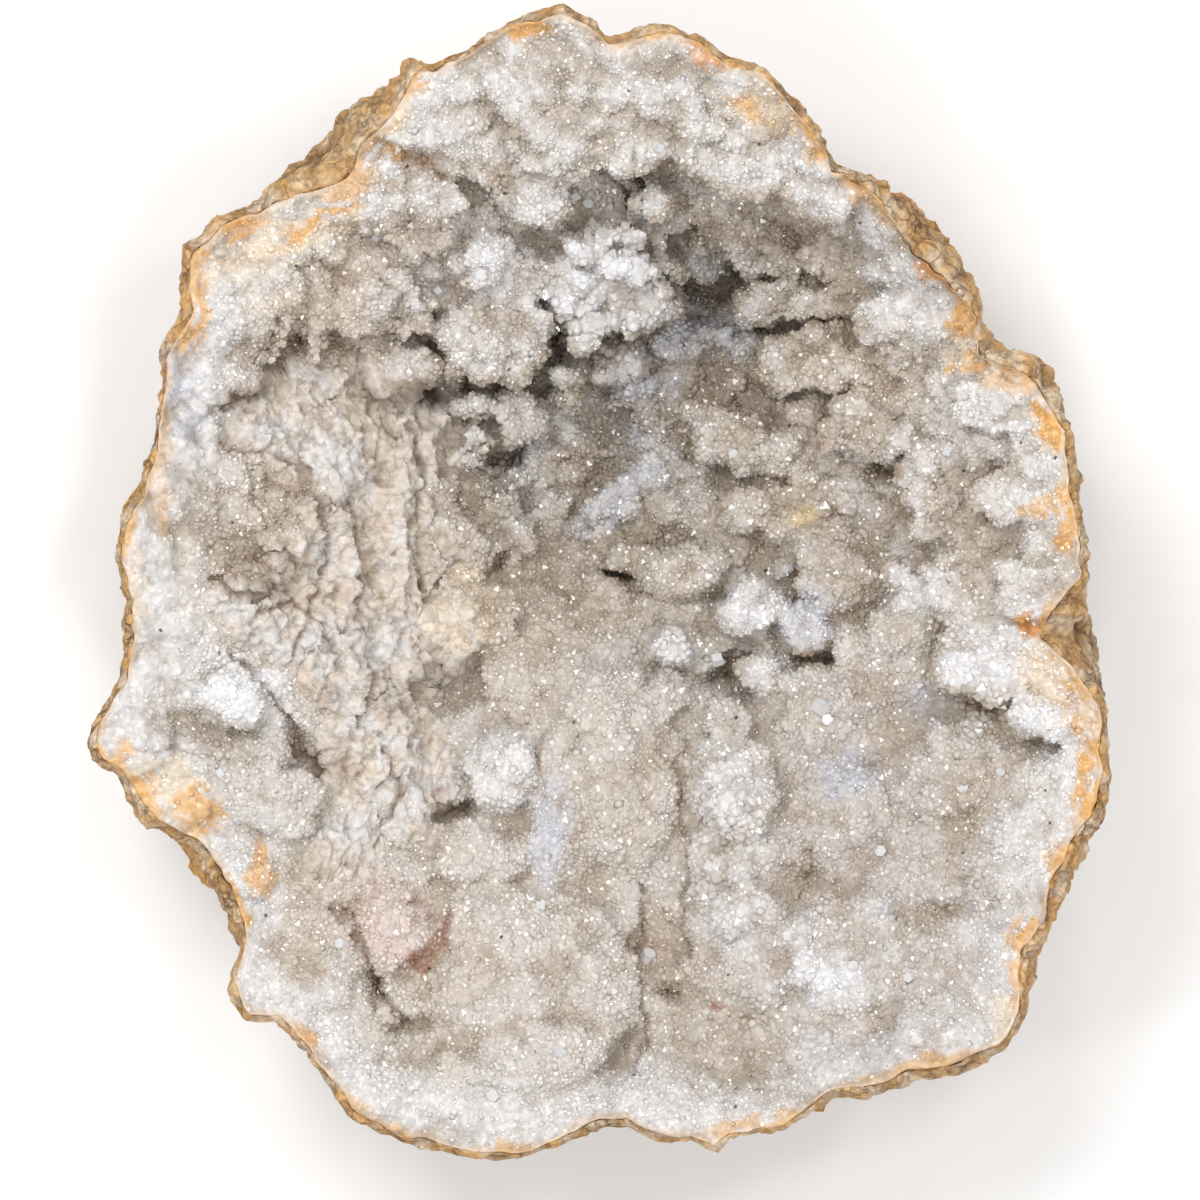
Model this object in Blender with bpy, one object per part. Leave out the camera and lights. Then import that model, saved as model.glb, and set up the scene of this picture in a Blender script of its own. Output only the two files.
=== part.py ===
"""Half of a quartz geode, lying on its back with the hollow up.

The rind is the rock wall: a thick bowl, nodular outside, cut flat where it rests.
The quartz crust lines that bowl. Its edge is the broken, milky face of the rim, and
inside the rim it turns into lumps, ledges and pits grown over with crystal points.

Lengths are millimetres until a mesh is made, which is in metres. +Z is up, +Y is the
long way across, and the origin is the middle of the underside.
"""
import math

import bmesh
import bpy
import numpy as np
from mathutils import Vector, noise

MM = 0.001
TAU = 2.0 * math.pi

# The half seen from above, anticlockwise from its highest peak: a broken outline
# that follows no formula, so each corner of it is one point (x, y).
OUTLINE = [
    (-7.5, 119), (-18, 116), (-26, 110.5), (-34, 107), (-38, 108), (-43, 103.5), (-52, 98),
    (-53.5, 94.5), (-63, 86), (-70, 79), (-77, 77), (-83, 71), (-84, 65), (-83.5, 59.5),
    (-88, 49.5), (-88, 42), (-89.5, 32), (-92.5, 21), (-95, 18), (-97, 9), (-94.7, 0),
    (-95, -10), (-96.5, -16), (-101.5, -24.5), (-102.7, -28.3), (-102, -32), (-97, -35),
    (-94, -42), (-92, -44.5), (-83.5, -49.5), (-77, -59), (-72.5, -70), (-74.5, -78),
    (-71.5, -84.5), (-65, -84.5), (-59, -91), (-54, -98), (-50.5, -103), (-39.5, -109),
    (-29, -111.5), (-23.5, -112), (-13, -111), (-5, -108), (0, -106), (5.5, -105.5),
    (11.5, -108), (18.5, -108.3), (23, -110.5), (26, -107.5), (38, -105.8), (46.7, -100),
    (54, -99.3), (63.5, -96), (71, -95), (81, -90), (85, -84), (87.2, -76.5), (87, -72.7),
    (90.7, -64.3), (95, -56), (100.3, -45), (102.4, -35), (101.4, -30.6), (101.8, -26),
    (100, -13), (98, -3), (97.6, 5), (95.7, 21), (93.7, 35), (91.5, 43.5), (89.2, 47.3),
    (81, 51.5), (77.3, 55), (75.4, 62.2), (72.6, 68), (66.6, 76), (56.6, 83.6), (47, 86.7),
    (42, 96), (37.5, 101), (32, 106.6), (26, 108.5), (20, 112.7), (12.6, 115.3), (6.5, 113.5),
    (1.5, 112.3), (-3, 116.5),
]
PLAN_MIDDLE = (-0.2, 3.2)

# How wide the rind shows outside the quartz, by compass angle from +X in degrees.
RIND_BANDS = [
    (-180, 2.4), (-160, 2.6), (-152, 4.0), (-140, 4.2), (-130, 2.4), (-75, 2.4), (-63, 3.6),
    (-55, 3.6), (-47, 2.6), (-41, 5.0), (-36, 3.0), (-32, 6.0), (-27, 5.0), (-22, 2.6),
    (-12, 3.0), (-8, 7.0), (-5, 12.0), (-1, 9.0), (3, 3.0), (20, 2.4), (27, 6.0), (33, 6.0),
    (37, 3.0), (42, 6.0), (48, 9.0), (55, 5.0), (61, 2.6), (108, 2.6), (113, 7.0),
    (121, 11.0), (127, 6.0), (132, 3.0), (142, 3.4), (155, 2.4), (180, 2.4),
]
REST_RADIUS = 33.0
RIND_FLOOR = 8.0
RIND_DEEPENING = 4.0
# The rind's edge next to the quartz: how far it lies below it, inside and at its crest.
EDGE_STEP, CREST_STEP = 0.8, 0.4
# The crest stands this far out of the quartz, and past it the shoulder falls away.
RIND_LIP, CREST_SHARE = 1.6, 0.75
SHOULDER_INSET, SHOULDER_FALL = 0.45, 0.4
SHOULDER_DROP = 3.0
SHOULDER_SLOPE = 1.3
BOWL_SQUARENESS = 0.84
# The rind's nodules: how far apart they are, and how far they stand out.
NODULES = ((27.0, 9.0), (13.0, 3.2))
# A nodule's dome is this high in the middle, and falls with the square of the way out.
DOME_TOP, DOME_FALL = 0.45, 1.6
# Nodules fade in over a quarter of the way down, and out over the last fifth.
FADE_IN, FADE_OUT = 4.0, 5.0
# The outline is quite even this share of the way down, and bulges no further than this.
EVEN_FROM, MOST_BULGE = 2.2, 3.0
# The inside of the rind starts this far below the edge of the quartz.
INSIDE_STEP = 1.0
UNDERSIDE_CLEARANCE = 0.6
# Below the rim the outline loses its notches: it is evened out over this many degrees.
EVENING_SPAN = 16.0
GAP = 0.3

# Height of the quartz along the rim, by compass angle in degrees.
RIM_HEIGHTS = [
    (-180, 80), (-165, 76), (-150, 70), (-135, 71), (-120, 75), (-105, 77), (-90, 76),
    (-75, 78), (-60, 80), (-45, 79), (-30, 77), (-15, 80), (0, 83), (15, 84), (30, 82),
    (45, 84), (60, 87), (75, 88), (90, 86), (105, 82), (120, 76), (135, 75), (150, 79),
    (165, 82),
]

# Height of the hollow's floor under its lumps (x, y, z).
FLOOR = [
    (-80, 50, 76), (-78, 20, 76), (-78, -5, 74), (-84, -28, 71), (-66, -42, 66),
    (-62, 64, 72), (-35, 88, 73), (-12, 94, 77), (10, 96, 79), (30, 92, 77), (52, 76, 76),
    (-66, 42, 58), (-62, 30, 61), (-64, 12, 68), (-68, -6, 68), (-50, 40, 53), (-50, 20, 57),
    (-50, 0, 58), (-40, 30, 48), (-36, 10, 48), (-46, -25, 56), (-33, -17, 45),
    (-50, -42, 58), (-38, 62, 58), (-38, 44, 44), (-20, 60, 50), (-12, 78, 57), (-24, 30, 37),
    (-18, 22, 34), (-12, 36, 29), (-3, 44, 30), (6, 58, 34), (14, 80, 56), (26, 80, 58),
    (24, 66, 27), (36, 72, 44), (20, 52, 27), (12, 38, 28), (24, 40, 31), (0, 24, 30),
    (14, 22, 33), (-14, 12, 33), (4, 8, 34), (24, 6, 38), (32, 22, 39), (38, 42, 38),
    (42, 62, 44), (62, 60, 70), (58, 68, 75), (74, 50, 76), (48, 38, 46), (52, 24, 46),
    (42, 2, 42), (56, 2, 50), (70, 40, 70), (84, 44, 80), (72, 18, 70), (74, -4, 68),
    (86, 10, 80), (82, -18, 70), (64, -16, 56), (17, -10, 40), (34, -12, 42), (50, -26, 53),
    (28, -30, 52), (12, -30, 50), (-4, -14, 49), (-20, -14, 50), (-8, -40, 53),
    (-26, -38, 53), (10, -55, 52), (12, -78, 56), (30, -60, 58), (50, -48, 58),
    (72, -40, 66), (60, -66, 66), (80, -62, 73), (44, -86, 69), (66, -86, 74), (20, -98, 71),
    (0, -98, 69), (-14, -58, 56), (-40, -52, 57), (-36, -80, 61), (-58, -62, 66),
    (-60, -80, 69), (-34, -98, 71), (-12, -94, 69),
]

# Ledges and sharp-edged lumps (x, y, rise, half length, half width, turn in degrees).
LEDGES = [
    (-79, 58, 2, 22, 17, 45), (-58, 58, 6, 5, 8, 0), (-47, 60, 8, 13, 8.5, 0),
    (-41, 49, 8, 8, 6, -15), (-22, 57, 11, 12, 12, 20), (-8.5, 45, 13, 4, 6.5, 0),
    (-23, 39.5, 9, 11.5, 5, -12), (-26.5, 31, 8, 4.5, 5, 0), (-24, 68, 10, 6, 6, 0),
    (-14, 66, 10, 8, 6.5, 0), (-39, 79, 6, 12, 9, 0), (-16, 85, 7, 11, 8, -40),
    (-5, 96, 5, 14, 13, 0), (13, 98, 5, 12, 11, 0), (2, 81, 4, 4.5, 3, 0),
    (9.5, 82, 9, 3.4, 5.4, 5), (-4, 73, 12, 7, 6, 0), (4, 75, 12, 6, 5, 0),
    (5, 67, 17, 8, 8, 0), (12, 69.5, 13, 4, 3.5, 0), (6, 60, 17, 6.5, 6, 0),
    (-5, 63, 12, 7, 7, 0), (-1, 56, 14, 6, 5, 10), (31, 90, 6, 12, 8, -5),
    (45, 84, 5, 8, 7, 0), (24, 76, 5, 14, 5.5, -5), (35, 70, 6, 9, 5, -15),
    (42, 61, 9, 12.5, 5.5, 5), (20, 53, 8, 12, 6, 8), (3, 49, 9, 7, 4.5, 0),
    (50, 48, 9, 17, 7.5, 4), (63, 56, 6, 13, 7.5, 0), (57, 35, 10, 12, 7.5, 4),
    (32, 33, 10, 15, 8, -7), (46, 25, 5, 8, 4.5, -10), (38, 18, 7, 13, 7, 0),
    (49, 8, 9, 9.5, 12, 15), (64, 2, 6, 6, 6, 0), (68, 22, 6, 7.5, 10, 0),
    (82, 40, 4, 9, 7.5, 10), (85, 22, 3, 9, 9, 0), (88, 4, 4, 9, 8, 20),
    (75, 2, 4, 9, 9, 0), (8, 42, 5, 10, 6.5, 15), (25, 43, 5, 9, 5.5, 0),
    (5, 21, 7, 13, 5, 38), (-5, 30, 5, 9, 5.5, 20), (-20.5, 21, 9, 6, 7, 0),
    (-16.5, 13, 6, 4.5, 5.5, 0), (-28, 13, 6, 9, 5.5, -30), (4, 10, 7, 5, 5.5, 0),
    (17, 7, 9, 10.5, 6.5, 5), (31, -1, 11, 7, 6.5, 0), (42.5, -3, 9, 5.5, 6.5, 0),
    (14, -9.5, 9, 5, 4.5, 0), (5, -16.5, 5, 4.5, 3.8, 0), (12, -20, 5, 6, 6, 0),
    (-27, -2, 8, 10, 10.5, 0), (-19, -34, 9, 8.5, 8.5, 0), (-25, -52, 6, 11, 9, 0),
    (-42, -66, 7, 9, 9, 0), (26, -25, 7, 4.5, 5, 0), (34, -15, 7, 5.5, 6, -30),
    (53, -9, 6, 6.5, 5.5, 0), (62, -6, 6, 8, 5.5, 0), (78, -13, 7, 11, 8, -35),
    (92, -24, 5, 9, 5, -8), (73, -28, 5, 6.5, 5, 0), (-75, -20, 6, 9, 7, -25),
    (-95, -28, 4, 10, 8, 0), (-68, -38, 5, 13, 8.5, -30), (-86, -39, 3, 9, 7.5, 0),
    (-73, -55, 4, 8, 5, -10), (-61, -72, 4, 13, 13, 0),
]

# Soft rises of the floor, and below zero its pits and grooves, in the same terms.
SWELLS = [
    (-63, 16, 6, 8, 9, 0), (-69, 6, 4, 8, 4, 12), (-52, 30, 4, 12, 8, 60),
    (-53, -15, 4, 8, 7, 0), (-38, -44, 4, 7, 7, 0), (-10, -45, 4, 6, 14, 0),
    (3, -34, 6, 15, 22, 0), (27, -38, 9, 10, 11, 0), (25, -52, 8, 10, 13, 0),
    (25, -68, 7, 10, 13, 0), (44, -21, 5, 10, 10, 0), (57, -15, 5, 9, 8, 0),
    (67, -35, 4, 10, 9, 0), (85, -46, 4, 9, 7, 0), (84, -58, 4, 11, 9, 0),
    (-15, -78, 8, 26, 21, 0), (-30, -98, 5, 27, 9, -8), (12, -101, 4, 12, 7, 0),
    (35, -100, 4, 8, 6, 0), (67, -87, 4, 10, 6, 15), (50, -70, 6, 16, 14, 0),
    (66, -75, 3, 8, 8, 0), (48, -42, 4, 10, 9, 0),
    (-19, 28.5, -12, 6, 2.4, 10), (23, 64, -9, 9, 4.5, 0), (-36, 42, -7, 5, 3.5, 0),
    (57, 26, -8, 6, 3.5, 20), (53, -3, -9, 5, 3, 35), (43, -11.5, -8, 5.5, 2.5, -5),
    (25, -14, -6, 9, 6, -20), (0, 3, -7, 6, 2.2, 30), (-29, -43, -7, 5.5, 2.2, 15),
    (-31, -18, -6, 8, 7, 0), (75, -20, -6, 5, 2.4, -40), (85, -28, -5, 7, 2.4, -20),
    (14, -79, -9, 5, 4.5, 0), (7, -90, -5, 11, 4, 55), (-45, -78, -6, 7, 2.2, 80),
    (-39, -85, -5, 7, 2.2, 0), (-49.5, -66, -5, 9, 2.6, 88), (-59, -30, -6, 9, 2.6, -52),
    (12, -70, -4, 5, 12, 0), (38, -56, -4, 9, 5, 0), (70, -62, -4, 10, 4, 10),
    (22, 89, -5, 3, 7, 0), (-24, 81, -7, 4.5, 3, 0), (37, 54.5, -6, 5, 2.4, 5),
]
# A ledge's top is this level; its edges wander with this spacing and reach.
LEVELLING = 0.55
LUMP_WARP = (8.0, 2.2)
# A ledge is steep at its front, which looks down the hollow, and dies out at its back.
LEDGE_FRONT, LEDGE_BACK = 0.36, 1.5
SOUTHWARD = 0.9
SLOPE_REACH = 4.0

# Crystal points: smooth to this far from the edge, full-grown past the second distance,
# how far they then stand out, the least growth, and how much their lengths differ.
SMOOTH_RIM = 10.0
DRUSE_FROM = 22.0
POINT_HEIGHT = 1.8
LEAST_GROWTH = 0.15
LENGTHS = (0.5, 1.3)
# How far the corners of the honeycomb stray from their places.
STRAY = 0.8
RIM_ROUGHNESS = 1.1
SEED = 11

DISC_RINGS = 24
RIM_COUNT = 6 * DISC_RINGS
# Rings down the outside (share of the way from the shoulder to the flat, count).
OUTSIDE = [
    (0.0, RIM_COUNT), (0.06, RIM_COUNT), (0.12, RIM_COUNT), (0.18, RIM_COUNT),
    (0.24, RIM_COUNT), (0.31, RIM_COUNT), (0.38, RIM_COUNT), (0.45, RIM_COUNT // 2),
    (0.53, RIM_COUNT // 2), (0.61, RIM_COUNT // 2), (0.69, RIM_COUNT // 2),
    (0.77, RIM_COUNT // 2), (0.85, RIM_COUNT // 4), (0.93, RIM_COUNT // 4),
    (1.0, RIM_COUNT // 4),
]
# Rings down the inside of the rind, which the back of the crust repeats.
INSIDE = [
    (0.10, RIM_COUNT), (0.24, RIM_COUNT // 2), (0.40, RIM_COUNT // 2), (0.57, RIM_COUNT // 2),
    (0.74, RIM_COUNT // 4), (0.88, RIM_COUNT // 8),
]


def polar_table(points):
    """Angles and radii of plan points, sorted for interpolation."""
    xy = np.array(points, float)
    angles = np.arctan2(xy[:, 1], xy[:, 0])
    order = np.argsort(angles)
    return angles[order], np.hypot(xy[:, 0], xy[:, 1])[order]


OUTLINE_ANGLES, OUTLINE_RADII = polar_table(OUTLINE)


def by_angle(table, angle):
    """Value of a (degrees, value) table at an angle in radians."""
    degrees, values = zip(*table)
    return np.interp(np.degrees(angle), degrees, values, period=360)


def outline_radius(angle):
    return np.interp(angle, OUTLINE_ANGLES, OUTLINE_RADII, period=TAU)


def evened_radius(angle, evenness):
    """The outline's radius: with all its notches at 0, and evened out at 1."""
    span = math.radians(EVENING_SPAN)
    nearby = [outline_radius(angle + turn) for turn in np.linspace(-span, span, 9)]
    return outline_radius(angle) * (1.0 - evenness) + np.mean(nearby, axis=0) * evenness


def quartz_radius(angle):
    """Where the quartz ends and the rind begins, seen from above."""
    return outline_radius(angle) - by_angle(RIND_BANDS, angle)


def plan(angle, radius):
    return np.stack([radius * np.cos(angle), radius * np.sin(angle)], axis=-1)


def circle_angles(count):
    """Angles of count points round the circle, between -180 and 180 degrees."""
    angles = np.arange(count) * TAU / count
    return (angles + math.pi) % TAU - math.pi


def sheet_kernel(distance):
    """Bending of a thin sheet at a distance from where it is held."""
    return distance**2 * np.log(np.maximum(distance, 1e-6))


def hold_sheet(points):
    """Weights of the smooth sheet that passes through points (x, y, z)."""
    xy, z = points[:, :2], points[:, 2]
    size = len(points)
    reach = np.linalg.norm(xy[:, None] - xy[None], axis=2)
    plane = np.column_stack([np.ones(size), xy])
    matrix = np.zeros((size + 3, size + 3))
    matrix[:size, :size] = sheet_kernel(reach)
    matrix[:size, size:] = plane
    matrix[size:, :size] = plane.T
    return np.linalg.solve(matrix, np.append(z, np.zeros(3)))


def floor_points():
    """The rim's heights and the floor's, as one set of points."""
    rim_angles = np.radians([angle for angle, _ in RIM_HEIGHTS])
    rim = plan(rim_angles, quartz_radius(rim_angles))
    heights = [height for _, height in RIM_HEIGHTS]
    return np.vstack([np.column_stack([rim, heights]), np.array(FLOOR, float)])


SHEET_POINTS = floor_points()
SHEET_WEIGHTS = hold_sheet(SHEET_POINTS)


def sheet_height(xy):
    """The floor before its lumps."""
    reach = np.linalg.norm(xy[:, None] - SHEET_POINTS[None, :, :2], axis=2)
    bent = sheet_kernel(reach) @ SHEET_WEIGHTS[:-3]
    return bent + SHEET_WEIGHTS[-3] + xy @ SHEET_WEIGHTS[-2:]


def wander(xy, wavelength, seed):
    """Smooth noise between about -1 and 1 at each point."""
    return np.array([noise.noise(Vector((x, y, 9.0 * seed)) / wavelength) for x, y in xy])


def mound(xy, x, y, half_length, half_width, turn):
    """1 at a mound's middle, down to 0 at the edge of its ellipse and outside it."""
    away = xy - (x, y)
    turned = math.radians(turn)
    along = away @ (math.cos(turned), math.sin(turned)) / half_length
    across = away @ (-math.sin(turned), math.cos(turned)) / half_width
    return np.clip(1.0 - along**2 - across**2, 0.0, 1.0)


def ease(value, start, end):
    """0 before start, 1 past end, and a soft change between."""
    share = np.clip((value - start) / (end - start), 0.0, 1.0)
    return share * share * (3.0 - 2.0 * share)


def forwardness(xy, x, y, half_length, half_width, turn):
    """-1 at the back of a ledge, 1 at the front, which looks down the hollow's wall."""
    around = [(x + SLOPE_REACH, y), (x - SLOPE_REACH, y), (x, y + SLOPE_REACH), (x, y - SLOPE_REACH)]
    east, west, north, south = sheet_height(np.array(around, float))
    fall = np.array([west - east, south - north]) / (2 * SLOPE_REACH) - (0.0, SOUTHWARD)
    heading = math.atan2(fall[1], fall[0])
    bearing = heading - math.radians(turn)
    reach = math.hypot(half_length * math.cos(bearing), half_width * math.sin(bearing))
    return (xy - (x, y)) @ (math.cos(heading), math.sin(heading)) / reach


def lumpy_height(xy):
    """The floor with its swells, pits, lumps and ledges."""
    wavelength, reach = LUMP_WARP
    warped = xy + reach * np.column_stack([wander(xy, wavelength, 1), wander(xy, wavelength, 2)])
    floor = sheet_height(xy)
    height = floor.copy()
    for x, y, rise, half_length, half_width, turn in SWELLS:
        height += rise * mound(warped, x, y, half_length, half_width, turn) ** 2
    for x, y, rise, half_length, half_width, turn in LEDGES:
        inside = mound(warped, x, y, half_length, half_width, turn)
        level = sheet_height(np.array([(x, y)], float))
        forward = forwardness(warped, x, y, half_length, half_width, turn)
        power = LEDGE_BACK + (LEDGE_FRONT - LEDGE_BACK) * ease(forward, -0.8, 0.1)
        ledge = floor + LEVELLING * (level - floor) + rise * inside**power
        height = np.where(inside > 0.0, np.maximum(height, ledge), height)
    return height


def edge_height(angle):
    """Height of the quartz where it meets the rind."""
    xy = plan(angle, quartz_radius(angle))
    return sheet_height(xy) + RIM_ROUGHNESS * wander(xy, 9.0, 3)


def bowl(angle, share, radius, top, bottom):
    """A point of a bowl: share 0 is its edge, and 1 is the edge of its flat bottom."""
    lean = share * math.pi / 2
    out = math.cos(lean) ** BOWL_SQUARENESS if share < 1.0 else 0.0
    down = math.sin(lean) ** BOWL_SQUARENESS
    reach = REST_RADIUS + (radius - REST_RADIUS) * out
    height = bottom + (top - bottom) * (1.0 - down)
    return np.column_stack([plan(angle, reach), height])


def nodules(points, share):
    """How far the knobbly skin stands out at each point: domes with creases between."""
    fade = min(1.0, FADE_IN * share) * min(1.0, FADE_OUT * (1.0 - share))
    swell = np.zeros(len(points))
    for spacing, reach in NODULES:
        for i, point in enumerate(points):
            nearest = noise.voronoi(Vector(point) / spacing)[0][0]
            swell[i] += reach * (DOME_TOP - nearest * nearest * DOME_FALL)
    return fade * swell


def outside_ring(share, count):
    """One ring of the rind's outside, from the shoulder down."""
    angle = circle_angles(count)
    shoulder = edge_height(angle) - SHOULDER_DROP - SHOULDER_SLOPE * by_angle(RIND_BANDS, angle)
    evened = evened_radius(angle, min(1.0, EVEN_FROM * share))
    radius = np.minimum(evened, outline_radius(angle) + MOST_BULGE)
    ring = bowl(angle, share, radius, shoulder, 0.0)
    lean = share * math.pi / 2
    swell = nodules(ring, share)
    ring[:, :2] += plan(angle, swell * math.cos(lean))
    if share < 1.0:
        ring[:, 2] = np.maximum(ring[:, 2] - swell * math.sin(lean), UNDERSIDE_CLEARANCE)
    return ring


def inside_ring(share, count, gap=0.0):
    """One ring of the rind's inside, or, a gap further in, of the crust's back."""
    angle = circle_angles(count)
    radius = quartz_radius(angle) - RIND_DEEPENING * math.sin(share * math.pi / 2) - gap
    return bowl(angle, share, radius, edge_height(angle) - INSIDE_STEP + gap, RIND_FLOOR + gap)


def lip_rings():
    """The rind's edge: down from the quartz's edge, over the lip and down the shoulder."""
    angle = circle_angles(RIM_COUNT)
    band = by_angle(RIND_BANDS, angle)
    top = edge_height(angle)
    inner = np.column_stack([plan(angle, quartz_radius(angle)), top - EDGE_STEP])
    crest = plan(angle, quartz_radius(angle) + RIND_LIP * CREST_SHARE)
    lip = np.column_stack([crest, top - CREST_STEP])
    slope = SHOULDER_INSET * (band - RIND_LIP)
    drop = SHOULDER_FALL * (SHOULDER_DROP + SHOULDER_SLOPE * band)
    shoulder = np.column_stack([plan(angle, outline_radius(angle) - slope), top - drop])
    return [inner, lip, shoulder]


def add_ring(mesh, ring):
    return [mesh.verts.new(Vector(point)) for point in ring]


def loft(mesh, upper, lower):
    """Faces between two rings of vertices, where the lower has as many or half as many."""
    step = len(upper) // len(lower)
    for i, vertex in enumerate(lower):
        following = lower[(i + 1) % len(lower)]
        run = [upper[(i * step + k) % len(upper)] for k in range(step + 1)]
        middle = (step + 1) // 2
        for k in range(middle):
            mesh.faces.new((run[k], vertex, run[k + 1]))
        mesh.faces.new((run[middle], vertex, following))
        for k in range(middle, step):
            mesh.faces.new((run[k], following, run[k + 1]))


def close_with_point(mesh, ring, point):
    """A fan from a ring of vertices to one point."""
    tip = mesh.verts.new(Vector(point))
    for i, vertex in enumerate(ring):
        mesh.faces.new((vertex, tip, ring[(i + 1) % len(ring)]))


def disc_positions():
    """Plan positions of a honeycomb disc: ring k has 6k points, and the last is the rim."""
    rings = [np.zeros((1, 2))]
    jitter = np.random.default_rng(SEED)
    for k in range(1, DISC_RINGS + 1):
        angle = circle_angles(6 * k)
        ring = plan(angle, (quartz_radius(angle) - GAP) * k / DISC_RINGS)
        if k < DISC_RINGS:
            ring += jitter.uniform(-STRAY, STRAY, ring.shape)
        rings.append(ring)
    return rings


def is_crystal_tip(k, j):
    """One point in three of the honeycomb is a tip, with six others round it."""
    if k == 0:
        return True
    side, along = divmod(j, k)
    corners = [(1, 0), (0, 1), (-1, 1), (-1, 0), (0, -1), (1, -1)]
    a, b = corners[side], corners[(side + 1) % 6]
    u = a[0] * (k - along) + b[0] * along
    v = a[1] * (k - along) + b[1] * along
    return (u - v) % 3 == 0


def slopes(xy):
    """Upward normals of the lumpy floor at each point."""
    reach = 1.5
    east = lumpy_height(xy + (reach, 0)) - lumpy_height(xy - (reach, 0))
    north = lumpy_height(xy + (0, reach)) - lumpy_height(xy - (0, reach))
    normal = np.column_stack([-east, -north, np.full(len(xy), 2 * reach)])
    return normal / np.linalg.norm(normal, axis=1, keepdims=True)


def crystal_field():
    """The front of the crust, ring by ring: floor, lumps and crystal tips."""
    draw = np.random.default_rng(SEED + 1)
    rings = []
    for k, xy in enumerate(disc_positions()):
        angle = np.arctan2(xy[:, 1], xy[:, 0])
        from_edge = quartz_radius(angle) - np.linalg.norm(xy, axis=1)
        if k == DISC_RINGS:
            rings.append(np.column_stack([xy, edge_height(angle)]))
            continue
        points = np.column_stack([xy, lumpy_height(xy)])
        growth = (from_edge - SMOOTH_RIM) / (DRUSE_FROM - SMOOTH_RIM)
        growth = np.clip(growth, LEAST_GROWTH, 1.0)
        tips = np.array([is_crystal_tip(k, j) for j in range(len(xy))])
        length = POINT_HEIGHT * growth * draw.uniform(*LENGTHS, len(xy))
        points += slopes(xy) * (tips * length)[:, None]
        rings.append(points)
    return rings


def weave_disc(mesh, rings):
    """Triangles between the rings of a honeycomb disc."""
    for k in range(1, len(rings)):
        inner, outer = rings[k - 1], rings[k]
        for side in range(6):
            for along in range(k):
                a = outer[side * k + along]
                b = outer[(side * k + along + 1) % len(outer)]
                c = inner[(side * (k - 1) + along) % len(inner)]
                mesh.faces.new((a, b, c))
                if along < k - 1:
                    d = inner[(side * (k - 1) + along + 1) % len(inner)]
                    mesh.faces.new((c, b, d))


def finish_piece(mesh, name, colour, roughness, collection):
    """Turns a bmesh in millimetres into a named object in metres with its material."""
    bmesh.ops.translate(mesh, verts=mesh.verts, vec=(-PLAN_MIDDLE[0], -PLAN_MIDDLE[1], 0.0))
    bmesh.ops.scale(mesh, verts=mesh.verts, vec=(MM, MM, MM))
    bmesh.ops.recalc_face_normals(mesh, faces=mesh.faces)
    data = bpy.data.meshes.new(name)
    mesh.to_mesh(data)
    mesh.free()
    material = bpy.data.materials.new(name)
    material.use_nodes = True
    shader = material.node_tree.nodes["Principled BSDF"]
    shader.inputs["Base Color"].default_value = (*colour, 1.0)
    shader.inputs["Roughness"].default_value = roughness
    shader.inputs["Metallic"].default_value = 0.0
    data.materials.append(material)
    piece = bpy.data.objects.new(name, data)
    collection.objects.link(piece)
    return piece


def make_rind(collection):
    """The rock wall: inside, lip, outside and the flat spot it rests on."""
    mesh = bmesh.new()
    lip = [add_ring(mesh, ring) for ring in lip_rings()]
    outside = [add_ring(mesh, outside_ring(share, count)) for share, count in OUTSIDE]
    inside = [add_ring(mesh, inside_ring(share, count)) for share, count in INSIDE]
    down_outside = lip + outside
    for upper, lower in zip(down_outside, down_outside[1:]):
        loft(mesh, upper, lower)
    mesh.faces.new(outside[-1])
    down_inside = [lip[0]] + inside
    for upper, lower in zip(down_inside, down_inside[1:]):
        loft(mesh, upper, lower)
    close_with_point(mesh, inside[-1], (0.0, 0.0, RIND_FLOOR))
    return finish_piece(mesh, "rind", (0.50, 0.36, 0.21), 0.9, collection)


def make_crust(collection):
    """The quartz: a honeycomb of crystals in front, and the rind's own form behind."""
    mesh = bmesh.new()
    front = [add_ring(mesh, ring) for ring in crystal_field()]
    weave_disc(mesh, front)
    back = [add_ring(mesh, inside_ring(share, count, GAP)) for share, count in INSIDE]
    down_back = [front[-1]] + back
    for upper, lower in zip(down_back, down_back[1:]):
        loft(mesh, upper, lower)
    close_with_point(mesh, back[-1], (0.0, 0.0, RIND_FLOOR + GAP))
    return finish_piece(mesh, "quartz_crust", (0.72, 0.69, 0.66), 0.35, collection)


def main():
    for old in list(bpy.data.objects):
        bpy.data.objects.remove(old, do_unlink=True)
    collection = bpy.data.collections.new("quartz_geode")
    bpy.context.scene.collection.children.link(collection)
    make_rind(collection)
    make_crust(collection)


main()
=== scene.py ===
# %% [markdown]
# # Half of a quartz geode, seen from straight above
# The frame holds two solids: the rind, which is the rock wall, and the quartz crust that
# lines it. This script dresses both with finer skins at the same size and place: a rind
# with nodules and creases, a crust with lobes, ledges and pits, and the druse, which is
# the sugar of small crystals that grew on the crust.

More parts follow.
